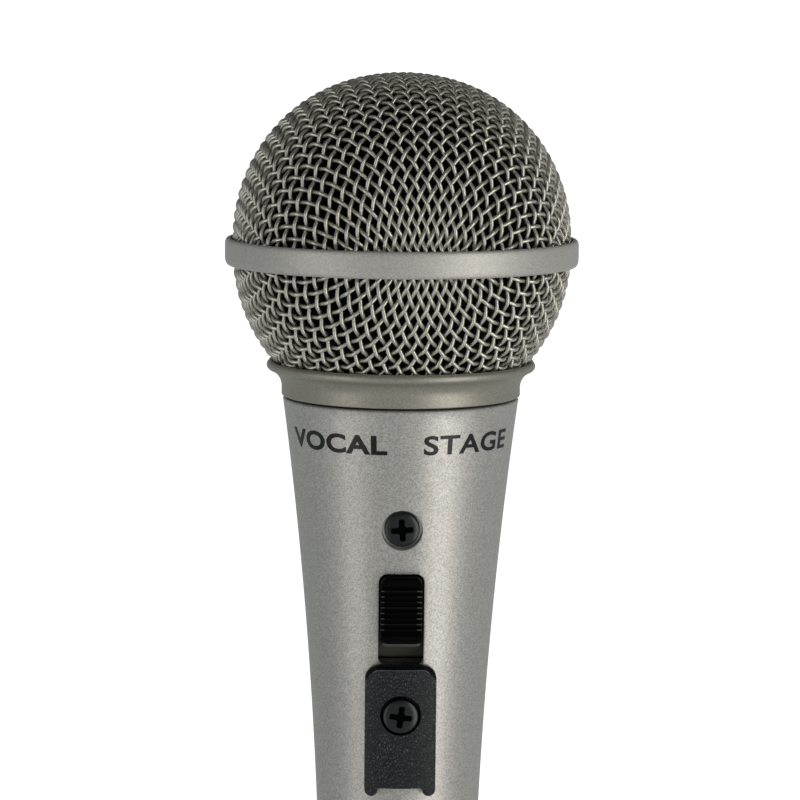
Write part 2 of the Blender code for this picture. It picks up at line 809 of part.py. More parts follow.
def capsule_front():
    bore = CAPSULE_RADIUS - CAPSULE_WALL
    turned(
        "diaphragm_clamp",
        [(0.0110, 0.1431), (bore - GAP, 0.1431), (bore - GAP, 0.1420), (0.0110, 0.1420)],
        MEDIUM_STEPS,
        finish="black_plastic",
    )
    cylinder("front_screen", bore - GAP, 0.1452, 0.1456, MEDIUM_STEPS, finish="felt")
    rim = 0.0011
    hole_radius = 0.0013
    cover = turned(
        "capsule_cover",
        [(hole_radius, CAPSULE_FRONT_Z), (CAPSULE_RADIUS - rim, CAPSULE_FRONT_Z)]
        + [(CAPSULE_RADIUS, CAPSULE_FRONT_Z - rim), (CAPSULE_RADIUS, CAPSULE_RIM_Z + GAP)]
        + [(bore, CAPSULE_RIM_Z + GAP), (bore, 0.1459), (hole_radius, 0.1459)],
        MEDIUM_STEPS,
        finish="black_plastic",
    )
    places = []
    for ring_radius, count in ((0.0048, 6), (0.0095, 12)):
        for i in range(count):
            angle = 2 * math.pi * (i + 0.37) / count
            places.append((ring_radius * math.cos(angle), ring_radius * math.sin(angle)))
    boolean(cover, drill_set("cover_holes_cutter", places, hole_radius, 0.1450, 0.1490, 8))


def rear_chamber():
    top = CAPSULE_FLOOR_Z - GAP
    wall = 0.0012
    inner = CHAMBER_RADIUS - wall
    turned(
        "rear_chamber",
        [(inner, top), (CHAMBER_RADIUS, top), (CHAMBER_RADIUS, CHAMBER_BOTTOM_Z)]
        + [(0, CHAMBER_BOTTOM_Z), (0, CHAMBER_BOTTOM_Z + wall), (inner, CHAMBER_BOTTOM_Z + wall)],
        MEDIUM_STEPS,
        finish="black_plastic",
    )
    inner_radius = CHAMBER_RADIUS + GAP
    flange_bottom = NECK_TOP_Z + GAP
    flange_top = flange_bottom + 0.0014
    turned(
        "shock_mount",
        [(inner_radius, flange_top + 0.0020), (inner_radius + 0.0012, flange_top + 0.0020)]
        + [(inner_radius + 0.0016, flange_top), (0.0144, flange_top), (0.0144, flange_bottom)]
        + [(NECK_BORE_RADIUS - GAP, flange_bottom), (NECK_BORE_RADIUS - GAP, NECK_FLOOR_Z + 0.002)]
        + [(inner_radius, NECK_FLOOR_Z + 0.002)],
        MEDIUM_STEPS,
        finish="rubber",
    )
    board_top = CHAMBER_BOTTOM_Z - GAP
    cylinder("terminal_board", 0.0085, board_top - 0.0012, board_top, finish="circuit_board")
    for name, x in (("hot", 0.0035), ("cold", -0.0035)):
        box(
            "capsule_lug_" + name,
            (x - 0.0009, -0.0003, board_top - 0.0042),
            (x + 0.0009, 0.0003, board_top - 0.0012 - GAP),
            finish="gold",
        )


# ---------------------------------------------------------------- connector
def pin_places():
    """Pins 1 and 2 lie either side of the middle, and pin 3 towards the front."""
    circle = PIN_CIRCLE_RADIUS
    return (("1", circle, 0.0), ("2", -circle, 0.0), ("3", 0.0, -circle))


def connector():
    face_radius = SOCKET_RADIUS - GAP
    waist_radius = 0.0069
    waist_bottom = INSERT_FACE_Z + 0.0018
    insert = turned(
        "connector_insert",
        [(0, INSERT_BACK_Z), (waist_radius, INSERT_BACK_Z), (waist_radius, waist_bottom)]
        + [(face_radius, waist_bottom), (face_radius, INSERT_FACE_Z), (0, INSERT_FACE_Z)],
        MEDIUM_STEPS,
        finish="black_plastic",
    )
    for number, x, y in pin_places():
        hole = cylinder(
            f"pin_{number}_hole_cutter",
            PIN_RADIUS + GAP,
            INSERT_FACE_Z - 0.002,
            INSERT_BACK_Z + 0.002,
            location=(x, y, 0),
        )
        boolean(insert, hole)
        tip = arc(0, PIN_TIP_Z + PIN_RADIUS, PIN_RADIUS, 0, -90, 3)
        cup_top, cup_floor = 0.0262, 0.0240
        profile = [(0.0007, cup_top), (0.0011, cup_top), (0.0011, 0.0225), (PIN_RADIUS, 0.0222)]
        profile += tip + [(0, cup_floor), (0.0007, cup_floor)]
        turned(
            f"connector_pin_{number}",
            profile,
            16,
            finish="gold",
            location=(x, y, 0),
        )
    ring = turned(
        "ground_ring",
        [(waist_radius + GAP, 0.0212), (face_radius, 0.0212)]
        + [(face_radius, waist_bottom + GAP), (waist_radius + GAP, waist_bottom + GAP)],
        MEDIUM_STEPS,
        finish="gold",
    )
    opening = box("ground_ring_cutter", (-0.0024, 0.0040, 0.0100), (0.0024, 0.0100, 0.0300))
    boolean(ring, opening)
    screw = cylinder(
        "connector_set_screw",
        0.0013,
        waist_radius + GAP,
        0.0105,
        SMALL_STEPS,
        finish="black_steel",
        location=(0, 0, SET_SCREW_Z),
        rotation=(-math.pi / 2, 0, 0),
    )
    driver = box(
        "set_screw_slot_cutter",
        (-0.0030, -0.0003, 0.0098),
        (0.0030, 0.0003, 0.0120),
        location=(0, 0, SET_SCREW_Z),
        rotation=(-math.pi / 2, 0, 0),
    )
    boolean(screw, driver)


def leads():
    """Four insulated leads: capsule to switch, switch to pin 2, capsule to pin 3, bracket to pin 1.
    Each ends just short of its solder point."""
    lug_z = CHAMBER_BOTTOM_Z - 0.0052
    cup_z = 0.0269
    solder = 0.0145 + GAP  # depth of a lead's end behind a switch terminal
    wire(
        "lead_capsule_to_switch",
        [(0.0035, 0, lug_z), (0.0046, 0.0008, 0.0920), (0.0030, 0.0020, 0.0880)]
        + [at_front(0.0006, solder + 0.0018, 0.0062), at_front(0, solder, 0.0055)],
        "wire_yellow",
    )
    wire(
        "lead_switch_to_pin_2",
        [at_front(0, solder, 0), at_front(-0.0012, solder + 0.0020, -0.0014)]
        + [(-0.0045, 0.0014, 0.0660), (-0.0053, 0.0010, 0.0470)]
        + [(-0.0046, 0.0003, 0.0340), (-0.0038, 0, cup_z)],
        "wire_yellow",
    )
    wire(
        "lead_capsule_to_pin_3",
        [(-0.0035, 0, lug_z), (-0.0052, 0.0008, 0.0900), (-0.0064, 0.0004, 0.0750)]
        + [(-0.0058, -0.0022, 0.0600), (-0.0030, -0.0047, 0.0460)]
        + [(-0.0006, -0.0047, 0.0340), (0, -0.0038, cup_z)],
        "wire_green",
    )
    wire(
        "lead_ground_to_pin_1",
        [at_front(0.0022, 0.0063, -0.0172), at_front(0.0040, 0.0090, -0.0215)]
        + [(0.0060, -0.0015, 0.0450), (0.0048, 0, 0.0340), (0.0038, 0, cup_z)],
        "wire_black",
    )


def main():
    clear_scene()
    grille_dome()
    grille_bowl()
    grille_band()
    grille_collar()
    foam_liners()
    front = switch_axes()
    handle_shell(front)
    switch_knob(front)
    switch_bracket(front)
    slide_switch(front)
    upper_head_at = SCREW_RECESS_DEPTH - GAP
    lower_head_at = PLATE_RECESS_DEPTH - PLATE_PROUD - GAP
    reach = SCREW_SPACING / 2
    cross_head_screw("upper_screw", upper_head_at, reach, UPPER_SCREW_LENGTH, front)
    cross_head_screw("lock_plate_screw", lower_head_at, -reach, LOWER_SCREW_LENGTH, front)
    lock_plate(front)
    capsule()
    moving_coil()
    capsule_front()
    rear_chamber()
    connector()
    leads()


main()
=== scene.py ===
"""Handheld vocal microphone: the finished look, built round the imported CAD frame.

Everything is in metres and in the frame's own axes: Z runs up the handle, -Y out of the switch side.
"""

import json
import math

import bpy
from mathutils import Matrix, Vector


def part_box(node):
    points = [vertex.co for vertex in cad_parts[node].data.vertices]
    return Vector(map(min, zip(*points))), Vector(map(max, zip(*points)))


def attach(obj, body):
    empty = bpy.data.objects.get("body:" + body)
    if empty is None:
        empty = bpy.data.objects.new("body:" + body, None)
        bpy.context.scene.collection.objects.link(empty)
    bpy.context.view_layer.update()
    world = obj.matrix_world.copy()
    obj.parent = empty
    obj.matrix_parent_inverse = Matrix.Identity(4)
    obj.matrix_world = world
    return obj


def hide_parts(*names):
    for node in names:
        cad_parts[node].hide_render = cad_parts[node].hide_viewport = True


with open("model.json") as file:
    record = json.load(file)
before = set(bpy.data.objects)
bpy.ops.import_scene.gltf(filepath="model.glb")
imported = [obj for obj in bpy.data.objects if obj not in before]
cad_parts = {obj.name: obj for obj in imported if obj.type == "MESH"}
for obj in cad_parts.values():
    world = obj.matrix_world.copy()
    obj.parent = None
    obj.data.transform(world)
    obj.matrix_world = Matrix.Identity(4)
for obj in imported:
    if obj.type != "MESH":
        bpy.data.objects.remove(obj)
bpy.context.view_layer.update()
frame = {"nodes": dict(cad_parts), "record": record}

bl_info = {
    "name": "Vocal Microphone",
    "version": (1, 0, 0),
    "blender": (4, 5, 0),
    "location": "View3D > Sidebar > Microphone",
    "description": "Builds the visible pieces and finishes of a handheld vocal microphone",
    "category": "Object",
}

MM = 0.001
NODES = frame["nodes"]

# ---------------------------------------------------------------- sizes that follow from the frame
BALL_TOP_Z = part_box("grille_dome")[1].z
BAND_LOW, BAND_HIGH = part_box("grille_band")
COLLAR_LOW, COLLAR_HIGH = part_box("grille_collar")
WASHER_LOW, WASHER_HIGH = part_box("collar_washer")
BOWL_FOOT_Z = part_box("grille_bowl")[0].z
FOAM_FOOT_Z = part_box("foam_bowl")[0].z
NECK_TOP_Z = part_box("handle_shell")[1].z
INSERT_LOW, INSERT_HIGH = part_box("connector_insert")

BALL_RADIUS = 25.9 * MM
DOME_FLAT = 0.6 * MM  # how far the ball's top is pressed flat
DOME_CENTRE_Z = BALL_TOP_Z + DOME_FLAT - BALL_RADIUS
BOWL_CENTRE_Z = DOME_CENTRE_Z - 2.0 * MM
DOME_FOOT_Z = 133.0 * MM  # hidden behind the band
FOAM_OUTER = 24.5 * MM
FOAM_INNER = 22.0 * MM

HANDLE_TOP_Z = 110.4 * MM
HANDLE_TOP_RADIUS = 18.1 * MM
HANDLE_END_RADIUS = 11.7 * MM
TAPER_POWER = 2.3
HANDLE_WALL = 2.4 * MM
NECK_RADIUS = 15.3 * MM
NECK_BORE = 13.4 * MM
NECK_FLOOR_Z = 103.0 * MM
SOCKET_RADIUS = 8.1 * MM
SOCKET_DEPTH = 22.5 * MM

SWITCH_Z = 77.9 * MM
SLOT_WIDTH, SLOT_LENGTH, SLOT_CORNER = 6.9 * MM, 15.0 * MM, 1.4 * MM
SCREW_UP = 14.25 * MM  # each screw's distance from the slot's middle
SCREW_HEAD_RADIUS, SCREW_HEAD_HEIGHT = 2.65 * MM, 1.3 * MM
SCREW_HOLE_RADIUS = 1.5 * MM
RECESS_RADIUS, RECESS_DEPTH = 3.1 * MM, 1.6 * MM
SET_SCREW_Z, SET_SCREW_RADIUS = 18.5 * MM, 1.6 * MM
LATCH_LOW, LATCH_HIGH = (-1.8 * MM, -9.6 * MM, 3.6 * MM), (1.8 * MM, -5 * MM, 6.8 * MM)


def handle_radius(z):
    share = max(z, 0.0) / HANDLE_TOP_Z
    return HANDLE_END_RADIUS + (HANDLE_TOP_RADIUS - HANDLE_END_RADIUS) * share**TAPER_POWER


def handle_slope(z):
    step = 1.0 * MM
    return math.atan2(handle_radius(z + step) - handle_radius(z - step), 2 * step)


# On the handle's front at the switch: Z runs up the slope and +Y inwards.
FRONT = Matrix.Translation((0, -handle_radius(SWITCH_Z), SWITCH_Z)) @ Matrix.Rotation(
    handle_slope(SWITCH_Z), 4, "X"
)
OUTWARDS = Matrix.Rotation(math.pi / 2, 4, "X")  # turns a piece's own Z to point out of the front


# ---------------------------------------------------------------- modelling helpers
def arc(centre_radius, centre_z, radius, start, end, steps):
    """Points of an arc in the (radius, height) plane, its angles in degrees from straight out."""
    angles = [math.radians(start + (end - start) * i / steps) for i in range(steps + 1)]
    return [(centre_radius + radius * math.cos(a), centre_z + radius * math.sin(a)) for a in angles]


def edit_all():
    bpy.ops.object.mode_set(mode="EDIT")
    bpy.ops.mesh.select_all(action="SELECT")


def edit_chosen(obj, kind, chosen):
    """Opens a piece for editing with only the chosen edges or faces selected."""
    only(obj)
    edit_all()
    bpy.ops.mesh.select_all(action="DESELECT")
    bpy.ops.object.mode_set(mode="OBJECT")
    for part in obj.data.edges if kind == "EDGE" else obj.data.polygons:
        part.select = chosen(part)
    bpy.ops.object.mode_set(mode="EDIT")
    bpy.ops.mesh.select_mode(type=kind)


def close_edit():
    bpy.ops.mesh.select_mode(type="VERT")
    bpy.ops.object.mode_set(mode="OBJECT")


def draw_outline(name, points):
    """A chain of edges through the points, drawn by extruding one vertex."""
    bpy.ops.object.select_all(action="DESELECT")
    bpy.ops.mesh.primitive_plane_add(size=0.01)
    obj = bpy.context.object
    obj.name = obj.data.name = name
    edit_all()
    bpy.ops.mesh.merge(type="CENTER")
    bpy.ops.transform.translate(value=points[0])
    for before, after in zip(points, points[1:]):
        step = Vector(after) - Vector(before)
        bpy.ops.mesh.extrude_vertices_move(TRANSFORM_OT_translate={"value": step})
    return obj


def tidy_surface():
    bpy.ops.mesh.select_all(action="SELECT")
    bpy.ops.mesh.remove_doubles(threshold=0.002 * MM)
    bpy.ops.mesh.normals_make_consistent(inside=False)
    bpy.ops.object.mode_set(mode="OBJECT")


def turned(name, profile, steps=160, sharp=35):
    """A piece turned on the Z axis from its (radius, height) outline."""
    points = [(radius, 0, z) for radius, z in profile]
    if profile[0][0] > 0 or profile[-1][0] > 0:
        points.append(points[0])
    obj = draw_outline(name, points)
    bpy.ops.mesh.select_all(action="SELECT")
    bpy.ops.mesh.spin(steps=steps, angle=2 * math.pi, center=(0, 0, 0), axis=(0, 0, 1))
    tidy_surface()
    smooth(obj, sharp)
    return obj


def slab(name, outline, low, high):
    """A flat closed outline in X and Y given a thickness along Z."""
    points = [(x, y, low) for x, y in outline]
    obj = draw_outline(name, [*points, points[0]])
    bpy.ops.mesh.select_all(action="SELECT")
    bpy.ops.mesh.remove_doubles(threshold=0.002 * MM)
    bpy.ops.mesh.edge_face_add()
    bpy.ops.mesh.extrude_region_move(TRANSFORM_OT_translate={"value": (0, 0, high - low)})
    tidy_surface()
    return obj


def block(name, low, high, corner=0.0, axis=1, segments=6):
    """A box from corner to corner, with the edges that run along one axis rounded."""
    low, high = Vector(low), Vector(high)
    bpy.ops.object.select_all(action="DESELECT")
    bpy.ops.mesh.primitive_cube_add(size=1, location=(low + high) / 2, scale=high - low)
    obj = bpy.context.object
    obj.name = obj.data.name = name
    bpy.ops.object.transform_apply(location=True, rotation=True, scale=True)
    if corner:

        def runs_along(edge):
            a, b = (obj.data.vertices[i].co for i in edge.vertices)
            return abs((a - b)[axis]) > 0.5 * (high - low)[axis]

        edit_chosen(obj, "EDGE", runs_along)
        bpy.ops.mesh.bevel(offset=corner, segments=segments, affect="EDGES")
        close_edit()
    return obj


def rod(name, radius, low, high, steps=64):
    bpy.ops.object.select_all(action="DESELECT")
    bpy.ops.mesh.primitive_cylinder_add(
        vertices=steps, radius=radius, depth=high - low, location=(0, 0, (low + high) / 2)
    )
    obj = bpy.context.object
    obj.name = obj.data.name = name
    bpy.ops.object.transform_apply(location=True, rotation=True, scale=True)
    return obj


def only(obj):
    bpy.ops.object.select_all(action="DESELECT")
    obj.select_set(True)
    bpy.context.view_layer.objects.active = obj


def move(obj, matrix):
    """Puts the piece in place, and its place into its mesh."""
    only(obj)
    obj.matrix_world = matrix
    bpy.ops.object.transform_apply(location=True, rotation=True, scale=True)
    return obj


def apply_modifier(obj, kind, **settings):
    only(obj)
    modifier = obj.modifiers.new(kind.lower(), kind)
    for key, value in settings.items():
        setattr(modifier, key, value)
    bpy.ops.object.modifier_apply(modifier=modifier.name)


def combine(target, tool, operation="DIFFERENCE"):
    """Cuts, joins or intersects a piece with a tool, and throws the tool away."""
    apply_modifier(target, "BOOLEAN", object=tool, operation=operation, solver="EXACT")
    bpy.data.objects.remove(tool)


def smooth(obj, angle=35):
    only(obj)
    bpy.ops.object.shade_smooth_by_angle(angle=math.radians(angle))


def round_edges(obj, width, segments, angle):
    apply_modifier(
        obj,
        "BEVEL",
        width=width,
        segments=segments,
        limit_method="ANGLE",
        angle_limit=math.radians(angle),
        harden_normals=False,
        use_clamp_overlap=True,
    )


def finish_piece(obj, slot, body, *nodes, finish=None):
    """Gives a piece its finish, its body and the CAD nodes that it stands for."""
    material = FINISHES[finish or slot]
    if not obj.data.materials:
        obj.data.materials.append(material)
    obj.data.materials[0] = material
    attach(obj, body)
    if nodes:
        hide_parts(*nodes)


def add_finishes(obj, *names):
    for name in names:
        obj.data.materials.append(FINISHES[name])


# ---------------------------------------------------------------- shared effects
def feed(tree, value, socket):
    """Links another node's output to a socket, or sets a plain value on it."""
    if isinstance(value, bpy.types.NodeSocket):
        tree.links.new(value, socket)
    else:
        socket.default_value = value


def add(tree, kind, **settings):
    """A node with its options set, and its inputs fed by their names with _ for a space."""
    node = tree.nodes.new("ShaderNode" + kind)
    for key, value in settings.items():
        if key in node.bl_rna.properties:
            setattr(node, key, value)
        else:
            feed(tree, value, node.inputs[key.replace("_", " ")])
    return node


def maths(tree, operation, first, second):
    node = add(tree, "Math", operation=operation)
    feed(tree, first, node.inputs[0])
    feed(tree, second, node.inputs[1])
    return node.outputs[0]


def swing(tree, value, amount):
    """A value from 0 to 1 turned into one that swings evenly round 0."""
    return maths(tree, "MULTIPLY", maths(tree, "SUBTRACT", value, 0.5), amount)


def mixed(tree, factor, first, second, blend="MIX"):
    node = add(tree, "Mix", data_type="RGBA", blend_type=blend, Factor=factor)
    feed(tree, first, node.inputs[6])
    feed(tree, second, node.inputs[7])
    return node.outputs[2]


def tinted(tree, colour, brightness):
    """The colour made lighter or darker by a number near 1."""
    grey = add(tree, "CombineColor", Red=brightness, Green=brightness, Blue=brightness)
    return mixed(tree, 1.0, colour, grey.outputs[0], "MULTIPLY")


def ramp(tree, value, start, end, first=0.0, last=1.0):
    """A smooth change from the first number to the last while the value goes from start to end."""
    ends = {"From_Min": start, "From_Max": end, "To_Min": first, "To_Max": last}
    return add(tree, "MapRange", interpolation_type="SMOOTHSTEP", Value=value, **ends).outputs[0]


def start_effect(name, inputs):
    """A node group with these inputs, whose outputs are a colour, a roughness and a height."""
    group = bpy.data.node_groups.new(name, "ShaderNodeTree")
    number, colour = "NodeSocketFloat", "NodeSocketColor"
    for label, value in inputs.items():
        kind = number if isinstance(value, float) else colour
        group.interface.new_socket(label, in_out="INPUT", socket_type=kind).default_value = value
    for label, kind in (("Colour", colour), ("Roughness", number), ("Height", number)):
        group.interface.new_socket(label, in_out="OUTPUT", socket_type=kind)
    return group, group.nodes.new("NodeGroupInput").outputs, add(group, "TexCoord").outputs["Object"]


def end_effect(group, *results):
    out = group.nodes.new("NodeGroupOutput")
    for value, socket in zip(results, out.inputs):
        group.links.new(value, socket)
    return group


def flake_group():
    """Fine metal flake in paint: a colour that sparkles a little, and a height for its orange peel."""
    inputs = {"Colour": (0.4, 0.4, 0.4, 1), "Roughness": 0.4}
    inputs |= {"Flake size": 0.14 * MM, "Sparkle": 0.2, "Mottle": 0.1}
    group, given, place = start_effect("paint_flake", inputs)
    scale = maths(group, "DIVIDE", 1.0, given["Flake size"])
    cells = add(group, "TexVoronoi", feature="F1", Vector=place, Scale=scale)
    flake = add(group, "SeparateColor", Color=cells.outputs["Color"]).outputs[0]
    peel_scale = maths(group, "MULTIPLY", scale, 1.1)
    peel = add(group, "TexNoise", Vector=place, Scale=peel_scale, Detail=1.0).outputs[0]
    clouds = add(group, "TexNoise", Vector=place, Scale=160.0, Detail=3.0).outputs[0]
    cloud = swing(group, clouds, 0.015)
    fine = maths(group, "ADD", swing(group, flake, given["Sparkle"]), swing(group, peel, given["Mottle"]))
    brightness = maths(group, "ADD", 1.0, maths(group, "ADD", fine, cloud))
    roughness = maths(group, "ADD", given["Roughness"], maths(group, "MULTIPLY", cloud, 1.2))
    height = maths(group, "ADD", peel, maths(group, "MULTIPLY", flake, 0.35))
    return end_effect(group, tinted(group, given["Colour"], brightness), roughness, height)


def moulded_group():
    """The faint unevenness of a moulded or rolled surface, and a little dust that lightens it."""
    inputs = {"Colour": (0.02, 0.02, 0.02, 1), "Roughness": 0.4}
    inputs |= {"Grain size": 0.3 * MM, "Spread": 0.15, "Dust": 0.05}
    group, given, place = start_effect("surface_grain", inputs)
    scale = maths(group, "DIVIDE", 1.0, given["Grain size"])
    grain = add(group, "TexNoise", Vector=place, Scale=scale, Detail=4.0, Roughness=0.6).outputs[0]
    specks = add(group, "TexNoise", Vector=place, Scale=900.0, Detail=3.0).outputs[0]
    patches = add(group, "TexNoise", Vector=place, Scale=120.0, Detail=2.0).outputs[0]
    uneven = swing(group, grain, given["Spread"])
    dusty = maths(group, "MULTIPLY", maths(group, "MULTIPLY", specks, patches), given["Dust"])
    brightness = maths(group, "ADD", 1.0, maths(group, "MULTIPLY", uneven, 2.0))
    dust_colour = (0.45, 0.43, 0.40, 1)
    colour = mixed(group, dusty, tinted(group, given["Colour"], brightness), dust_colour)
    return end_effect(group, colour, maths(group, "ADD", given["Roughness"], uneven), grain)


def leather_group():
    """A moulded leather grain: pinched cells with soft tops, and creases between them painted dark as shade.
    """
    inputs = {"Colour": (0.03, 0.03, 0.03, 1), "Crease shade": (0.01, 0.01, 0.01, 1)}
    inputs |= {"Cell size": 0.5 * MM, "Roughness": 0.5}
    group, given, place = start_effect("leather_grain", inputs)
    scale = maths(group, "DIVIDE", 1.0, given["Cell size"])
    warp_scale = maths(group, "MULTIPLY", scale, 0.5)
    warp = add(group, "TexNoise", Vector=place, Scale=warp_scale, Detail=2.0).outputs["Color"]
    reach = maths(group, "MULTIPLY", given["Cell size"], 1.5)
    bend = add(group, "VectorMath", operation="SCALE", Scale=reach)
    feed(group, warp, bend.inputs[0])
    moved = add(group, "VectorMath", operation="ADD")
    feed(group, place, moved.inputs[0])
    feed(group, bend.outputs[0], moved.inputs[1])
    lean = (0, math.radians(35), 0)
    stretch = add(group, "Mapping", Vector=moved.outputs[0], Rotation=lean, Scale=(1.0, 1.0, 0.62))
    cells = add(group, "TexVoronoi", feature="DISTANCE_TO_EDGE", Vector=stretch.outputs[0], Scale=scale)
    top = ramp(group, cells.outputs["Distance"], 0.04, 0.38)
    fine_scale = maths(group, "MULTIPLY", scale, 3.0)
    fine = add(group, "TexNoise", Vector=place, Scale=fine_scale, Detail=3.0).outputs[0]
    roughness = maths(group, "SUBTRACT", given["Roughness"], maths(group, "MULTIPLY", top, 0.08))
    height = maths(group, "ADD", top, maths(group, "MULTIPLY", fine, 0.25))
    return end_effect(group, mixed(group, top, given["Crease shade"], given["Colour"]), roughness, height)


GROUPS = {}


def effect(name):
    """The shared node group of that name, built once."""
    makers = {"paint_flake": flake_group, "surface_grain": moulded_group, "leather_grain": leather_group}
    if name not in GROUPS:
        GROUPS[name] = makers[name]()
    return GROUPS[name]


def set_inputs(node, values):
    for label, value in values.items():
        node.inputs[label].default_value = value


def coated(name, group_name, values, bump, depth, constants):
    """A material whose colour, roughness and bump come from one shared effect."""
    material = bpy.data.materials.new(name)
    material.use_nodes = True
    tree = material.node_tree
    shader = tree.nodes["Principled BSDF"]
    set_inputs(shader, constants)
    group = tree.nodes.new("ShaderNodeGroup")
    group.node_tree = effect(group_name)
    set_inputs(group, values)
    tree.links.new(group.outputs["Colour"], shader.inputs["Base Color"])
    tree.links.new(group.outputs["Roughness"], shader.inputs["Roughness"])
    relief = add(tree, "Bump", Strength=bump, Distance=depth, Height=group.outputs["Height"])
    tree.links.new(relief.outputs[0], shader.inputs["Normal"])
    return material


def paint(name, colour, roughness, metallic, sparkle):
    values = {"Colour": (*colour, 1), "Roughness": roughness, "Sparkle": sparkle, "Mottle": 0.12}
    constants = {"Metallic": metallic, "Specular IOR Level": 0.5}
    return coated(name, "paint_flake", values, 0.25, 0.015 * MM, constants)


def moulding(name, colour, roughness, grain=0.3 * MM, spread=0.12, dust=0.03, bump=0.15, **constants):
    values = {"Colour": (*colour, 1), "Roughness": roughness}
    values |= {"Grain size": grain, "Spread": spread, "Dust": dust}
    return coated(name, "surface_grain", values, bump, 0.05 * MM, constants)


GLOSS, METAL = "Specular IOR Level", "Metallic"
# Each plain finish: its colour, its roughness, and what differs from an ordinary moulding.
PLAIN_FINISHES = {
    # The screw recess finish is near black and matte: painted shade inside the screws' cross recesses.
    "screw_recess_painted_shade": ((0.0015, 0.0015, 0.0015), 0.80, {"dust": 0.0, GLOSS: 0.05}),
    "print_ink": ((0.006, 0.006, 0.007), 0.33, {"spread": 0.05, "dust": 0.0, GLOSS: 0.30}),
    # slot_floor_painted_light: brown-grey far lighter than the black plastic, painted light reflected from
    # the warm metal onto the slider's flange and sill.
    "slot_floor_painted_light": ((0.060, 0.057, 0.047), 0.50, {"spread": 0.2, "dust": 0.05}),
    "slot_wall": ((0.34, 0.32, 0.26), 0.55, {"spread": 0.2, "dust": 0.05}),
    # The dusty, glossier plastic on the knob's crest ends is wear and a painted glint.
    "worn_plastic_painted_glint": (
        (0.004, 0.004, 0.005),
        0.30,
        {"grain": 0.2 * MM, "spread": 0.5, "dust": 0.30, GLOSS: 0.4},
    ),
    # soft_black: near black and a little glossier; on the lock plate it is painted shade on the top bevel and
    # the recess wall, on the knob a painted sheen line on every third crest.
    "soft_black": ((0.002, 0.002, 0.0025), 0.35, {"dust": 0.0, GLOSS: 0.12}),
    # The plate's edge colour is lighter than its grain: a painted highlight line along the top bevel's
    # crease.
    "plate_edge_painted_highlight": ((0.085, 0.100, 0.110), 0.35, {}),
    "black_steel": ((0.006, 0.006, 0.007), 0.30, {"spread": 0.10, "dust": 0.008, GLOSS: 0.45}),
    "bright_steel": ((0.55, 0.55, 0.54), 0.30, {"dust": 0.05, METAL: 1.0}),
    "magnet_alloy": ((0.20, 0.20, 0.21), 0.55, {"spread": 0.2, METAL: 0.8}),
    "gold": ((0.78, 0.56, 0.24), 0.22, {"spread": 0.06, "dust": 0.0, METAL: 1.0}),
    "copper": ((0.62, 0.27, 0.13), 0.32, {"grain": 0.1 * MM, METAL: 1.0}),
    "clear_film": ((0.66, 0.64, 0.56), 0.18, {"dust": 0.0, "Transmission Weight": 0.6}),
    "foam": (
        (0.003, 0.003, 0.003),
        0.95,
        {"grain": 0.5 * MM, "spread": 0.4, "dust": 0.0, "bump": 0.9, GLOSS: 0.1},
    ),
    "felt": (
        (0.10, 0.10, 0.10),
        0.95,
        {"grain": 0.15 * MM, "spread": 0.5, "dust": 0.05, "bump": 0.8, "Sheen Weight": 0.3},
    ),
    "rubber": ((0.016, 0.016, 0.016), 0.72, {"spread": 0.2, "dust": 0.08}),
    "circuit_board": ((0.30, 0.17, 0.06), 0.50, {"spread": 0.25}),
    "wire_yellow": ((0.70, 0.50, 0.05), 0.40, {}),
    "wire_green": ((0.05, 0.28, 0.10), 0.40, {}),
    "wire_black": ((0.012, 0.012, 0.012), 0.40, {}),
}


def make_finishes(colours):
    """Every finish of the microphone, by its slot name."""
    finishes = {name: moulding(name, *look, **more) for name, (*look, more) in PLAIN_FINISHES.items()}
    paints = {
        "grille_paint": (colours.grille, 0.33, 0.75, 0.20),
        # The band's and the collar's paints are the grille's paint with other brightnesses: painted light on
        # the band, painted shade of the ball on the collar.
        "band_painted_light": (colours.band, 0.51, 0.55, 0.35),
        "collar_painted_shade": (colours.collar, 0.44, 0.60, 0.35),
        "handle_paint": (colours.handle, 0.43, 0.60, 0.58),
        # The rim paint is lighter and glossier: a painted highlight on the roundings round the handle's
        # openings.
        "rim_painted_highlight": ((0.62, 0.60, 0.55), 0.28, 0.75, 0.15),
    }
    for name, look in paints.items():
        finishes[name] = paint(name, *look)
    satin = {"spread": 0.06, "dust": 0.002, GLOSS: 0.035}
    finishes["black_plastic"] = moulding("black_plastic", colours.plastic, 0.26, **satin)
    # The crease colour is near black: painted shade in the grain's creases.
    grain = {"Colour": (*colours.lock_plate, 1), "Crease shade": (0.0008, 0.0009, 0.0010, 1)}
    grain |= {"Cell size": 0.38 * MM, "Roughness": 0.30}
    finishes["textured_plastic"] = coated(
        "textured_plastic", "leather_grain", grain, 1.0, 0.14 * MM, {GLOSS: 0.36}
    )
    return finishes


# ---------------------------------------------------------------- settings
def size(name, description, default):
    return bpy.props.FloatProperty(
        name=name, description=description, default=default, unit="LENGTH", precision=5, min=0.0
    )


def colour(name, description, default):
    return bpy.props.FloatVectorProperty(
        name=name, description=description, default=default, subtype="COLOR", size=3, min=0, max=1
    )


def level(name, description, default):
    return bpy.props.FloatProperty(name=name, description=description, default=default, min=0.0)


class BallSettings(bpy.types.PropertyGroup):
    """The woven wire ball and its band."""

    pitch: size("Wire pitch", "Distance from one wire to the next", 1.83 * MM)
    wire: size("Wire thickness", "Diameter of one wire", 0.62 * MM)
    weave_turn: bpy.props.FloatProperty(
        name="Weave turn",
        description="How far the narrow cells are turned from the front, round the axis",
        default=math.radians(5.1),
        subtype="ANGLE",
    )
    band_edge_top: size("Band's top edge", "Radius of the band's upper edge", 0.9 * MM)
    band_edge_bottom: size("Band's lower edge", "Radius of the band's lower edge", 1.15 * MM)


